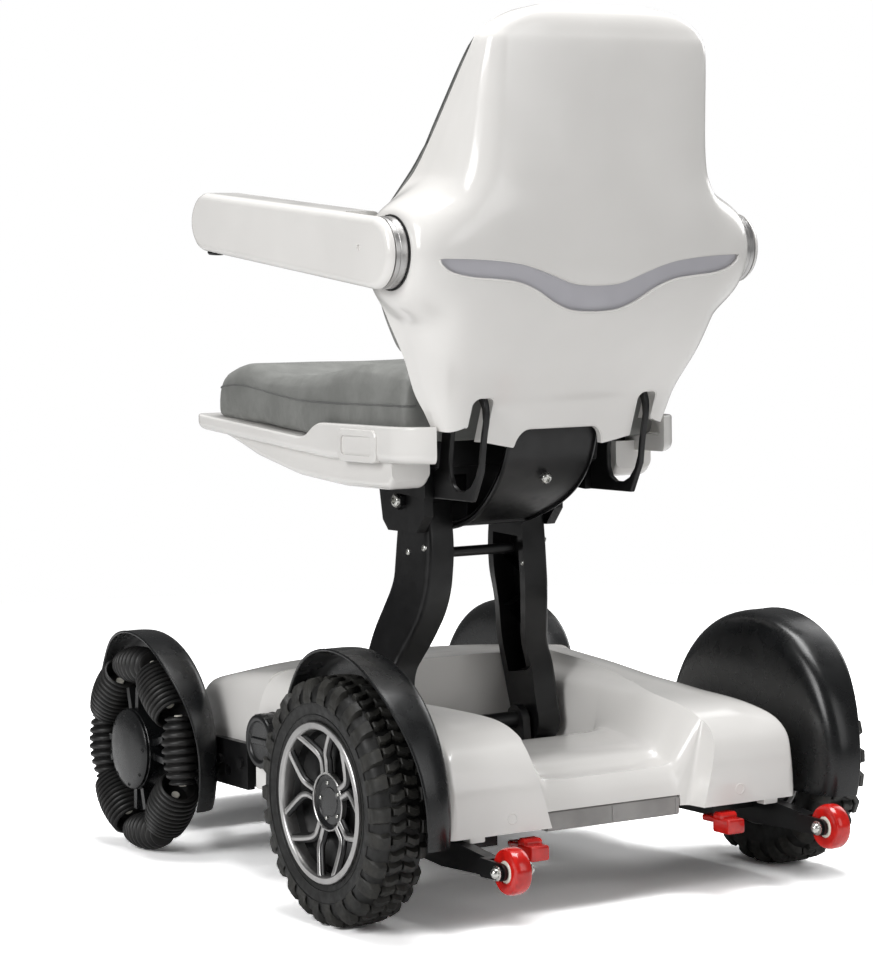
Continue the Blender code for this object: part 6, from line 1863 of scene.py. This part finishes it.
def make_front_hub(s, side):
    """The black hub with its arms, a domed cap disc and a ring of small black screws."""
    softened(f"front_wheel_hub_{side}", f"front_wheel_{side}", BLACK, 0.8 * MM, 40.0)
    centre = at(s * FRONT_WHEEL_X, WHEELBASE, FRONT_RADIUS)
    bm = bmesh.new()
    add_turned(bm, [
        (0.0, 0.0262), (0.012, 0.0260), (0.028, 0.0250), (0.040, 0.0232), (0.0465, 0.0212), (0.0488, 0.0190),
        (0.0490, 0.0150), (0.0, 0.0150),
    ], centre, (s, 0, 0), 80)
    fit(bm, f"front_wheel_{side}_cap", f"front_wheel_{side}", BLACK)
    bm = bmesh.new()
    for k in range(8):
        add_screw(bm, wheel_point(centre, s * 0.0222, 0.0425, 45 * k + 40), (s, 0, 0), 0.0024)
    fit(bm, f"front_wheel_{side}_screws", f"front_wheel_{side}", STEEL)


# Anti-tip wheels, levers and footrest

def make_anti_tip(s, side):
    """The steel arm, its acorn nuts, the red wheel and the white hub ring inside it."""
    softened(f"anti_tip_arm_{side}", "chassis", STEEL, 0.7 * MM, 40.0)
    middle = at(s * TIP_WHEEL_X, *TIP_WHEEL)
    half = TIP_WHEEL_HALF
    nut = [
        (0.0, 0.0262), (0.0025, 0.0258), (0.0046, 0.0243), (0.0054, 0.0222), (0.0056, 0.0208),
        (0.0080, 0.0204), (0.0080, 0.0194), (0.0, 0.0194),
    ]
    tyre = [
        (0.0118, half - 0.001), (0.0125, half - 0.0002), (0.0200, half), (0.0232, half - 0.0012),
        (0.0246, half - 0.0038), (TIP_WHEEL_RADIUS, half - 0.007),
    ]
    hub = [(0.0048, half - 0.0008), (0.0060, half), (0.0105, half), (0.0118, half - 0.0014)]
    bm = bmesh.new()
    for way in (1, -1):
        add_turned(bm, nut, middle, (way, 0, 0), 24)
    fit(bm, f"anti_tip_nuts_{side}", "chassis", ZINC)
    bm = bmesh.new()
    tyre += [(radius, -along) for radius, along in reversed(tyre)]
    add_turned(bm, tyre, middle, (1, 0, 0), 64, closed=True)
    fit(bm, f"anti_tip_wheel_{side}_tyre", f"anti_tip_wheel_{side}", RED, [f"anti_tip_wheel_{side}"])
    bm = bmesh.new()
    hub += [(radius, -along) for radius, along in reversed(hub)]
    add_turned(bm, hub, middle, (1, 0, 0), 48, closed=True)
    fit(bm, f"anti_tip_wheel_{side}_hub", f"anti_tip_wheel_{side}", NYLON)


def make_footrest():
    """The foot plate, with the fine ribs of the mat on it."""
    softened("footrest", "footrest", BLACK, 1.2 * MM, 40.0, name="footrest_plate")
    bm = bmesh.new()
    for k in range(24):
        x = -0.1440 + 0.01252 * k
        add_block(bm, (x - 0.0024, 0.612, 0.0955), (x + 0.0024, 0.776, 0.0972), 0.0007)
    fit(bm, "footrest_grip_ribs", "footrest", ROLLER)


# The whole chair

make_backrest_shell()
make_back_cushion()
make_seat_cushion()
make_tray()
make_back_bracket()
make_rear_cover()
make_front_cover()
make_step()
make_controller()
make_footrest()
make_joystick()
softened("chassis_frame", "chassis", STEEL, 1.2 * MM, 40.0)
softened("leg_cross_rod", "legs", STEEL, 0.6 * MM, 60.0)
softened("seat_frame", "seat", STEEL, 1.2 * MM, 40.0)
for which, named in SIDES:
    make_armrest(which, named)
    make_arm_ring(which, named)
    make_leg(which, named)
    make_side_bracket(which, named)
    make_battery(which, named)
    make_fender(which, named, "rear", 0.0, WHEEL_RADIUS, *REAR_FENDER)
    make_fender(which, named, "front", WHEELBASE, FRONT_RADIUS, *FRONT_FENDER)
    make_tyre(which, named)
    make_rim(which, named)
    make_hub_cap(which, named)
    make_front_hub(which, named)
    make_anti_tip(which, named)
    softened(f"front_wheel_bracket_{named}", "chassis", STEEL, 0.8 * MM, 40.0)
    softened(f"freewheel_lever_{named}", f"freewheel_lever_{named}", RED, 1.0 * MM, 30.0)
    for which_roller in range(1, 5):
        make_roller(which, named, "large", which_roller)
        make_roller(which, named, "small", which_roller)


# Floor, room and lights

FLOOR_RADIUS = 3.2
FLOOR_SEEN = 1.9
FLOOR_LIT = 0.75
ROOM_LIGHT = 0.20
ROOM_REFLECTED = 0.13
CAMERA_TURN_DEG = (31.5399, 3.8362, -1.0961)
CAMERA_PLACE = (1.8914, 3.0888, 0.6947)
FOCAL_PIXELS = 3030.3132
PHOTO_HEIGHT_PIXELS = 960.0
SENSOR = 36.0


def make_stage():
    """A pale round floor that keeps the chair's shadow, and a white room that is darker in reflections."""
    mesh = bpy.data.meshes.new("floor")
    rim = arc((0.0, 0.1), FLOOR_RADIUS, 0, 355, 71)
    mesh.from_pydata([(x, y, 0.0) for x, y in rim], [], [tuple(range(len(rim)))])
    floor = bpy.data.objects.new("floor", mesh)
    bpy.context.scene.collection.objects.link(floor)
    made, tree, shader, _ = new_finish("matt_paper", "F4F4F4", 0.9)
    rays = add_node(tree, "ShaderNodeLightPath").outputs
    levels = [("To Min", FLOOR_LIT), ("To Max", FLOOR_SEEN)]
    level = add_node(tree, "ShaderNodeMapRange", levels, [("Value", rays["Is Camera Ray"])]).outputs["Result"]
    bright = add_node(tree, "ShaderNodeCombineColor", (), [("Red", level), ("Green", level), ("Blue", level)])
    tree.links.new(bright.outputs["Color"], shader.inputs["Base Color"])
    shader.inputs["Specular IOR Level"].default_value = 0.0
    floor.data.materials.append(made)

    world = bpy.data.worlds.new("studio")
    bpy.context.scene.world = world
    world.use_nodes = True
    tree = world.node_tree
    tree.nodes.clear()
    rays = add_node(tree, "ShaderNodeLightPath").outputs
    levels = [("To Min", ROOM_LIGHT), ("To Max", ROOM_REFLECTED)]
    lit = add_node(tree, "ShaderNodeMapRange", levels, [("Value", rays["Is Glossy Ray"])]).outputs["Result"]
    links = [("Factor", rays["Is Camera Ray"]), ("A", lit)]
    power = add_node(tree, "ShaderNodeMix", [("data_type", "FLOAT")], links)
    power.inputs["B"].default_value = 1.0
    links = [("Strength", power.outputs["Result"])]
    sky = add_node(tree, "ShaderNodeBackground", [("Color", (1.0, 1.0, 1.0, 1.0))], links)
    add_node(tree, "ShaderNodeOutputWorld", (), [("Surface", sky.outputs["Background"])])


def add_lamp(name, place, target, size, power):
    """A soft rectangular lamp that looks at a target."""
    light = bpy.data.lights.new(name, "AREA")
    light.shape = "RECTANGLE"
    light.size, light.size_y = size
    light.energy = power
    lamp = bpy.data.objects.new(name, light)
    lamp.location = place
    lamp.rotation_euler = (Vector(target) - Vector(place)).to_track_quat("-Z", "Y").to_euler()
    bpy.context.scene.collection.objects.link(lamp)


def make_camera():
    """The photograph's viewpoint: behind the chair on its left, a little above the seat."""
    turned, pitch, roll = (math.radians(a) for a in CAMERA_TURN_DEG)
    flat = Vector((-math.sin(turned), -math.cos(turned), 0.0))
    right = Vector((-math.cos(turned), math.sin(turned), 0.0))
    look = flat * math.cos(pitch) - Vector((0.0, 0.0, math.sin(pitch)))
    down = look.cross(right)
    image_right = right * math.cos(roll) - down * math.sin(roll)
    image_down = right * math.sin(roll) + down * math.cos(roll)
    lens = bpy.data.cameras.new("photo_camera")
    lens.sensor_fit = "AUTO"
    lens.sensor_width = SENSOR
    lens.lens = FOCAL_PIXELS * SENSOR / PHOTO_HEIGHT_PIXELS
    camera = bpy.data.objects.new("photo_camera", lens)
    turn = Matrix((image_right, -image_down, -look)).transposed().to_4x4()
    camera.matrix_world = Matrix.Translation(CAMERA_PLACE) @ turn
    bpy.context.scene.collection.objects.link(camera)
    bpy.context.scene.camera = camera


make_stage()
add_lamp("overhead", (-0.3, 0.2, 3.0), (0.0, 0.0, 0.3), (1.7, 1.7), 92)
add_lamp("key", (3.1, 0.9, 2.0), (0.0, 0.0, 0.5), (1.5, 2.0), 72)
add_lamp("back_fill", (-0.9, 3.3, 1.5), (0.0, 0.1, 0.5), (1.6, 2.0), 17)
add_lamp("far_side", (-2.8, -0.6, 2.0), (0.0, 0.0, 0.5), (1.8, 1.8), 24)
make_camera()
bpy.context.scene.view_settings.view_transform = "Standard"
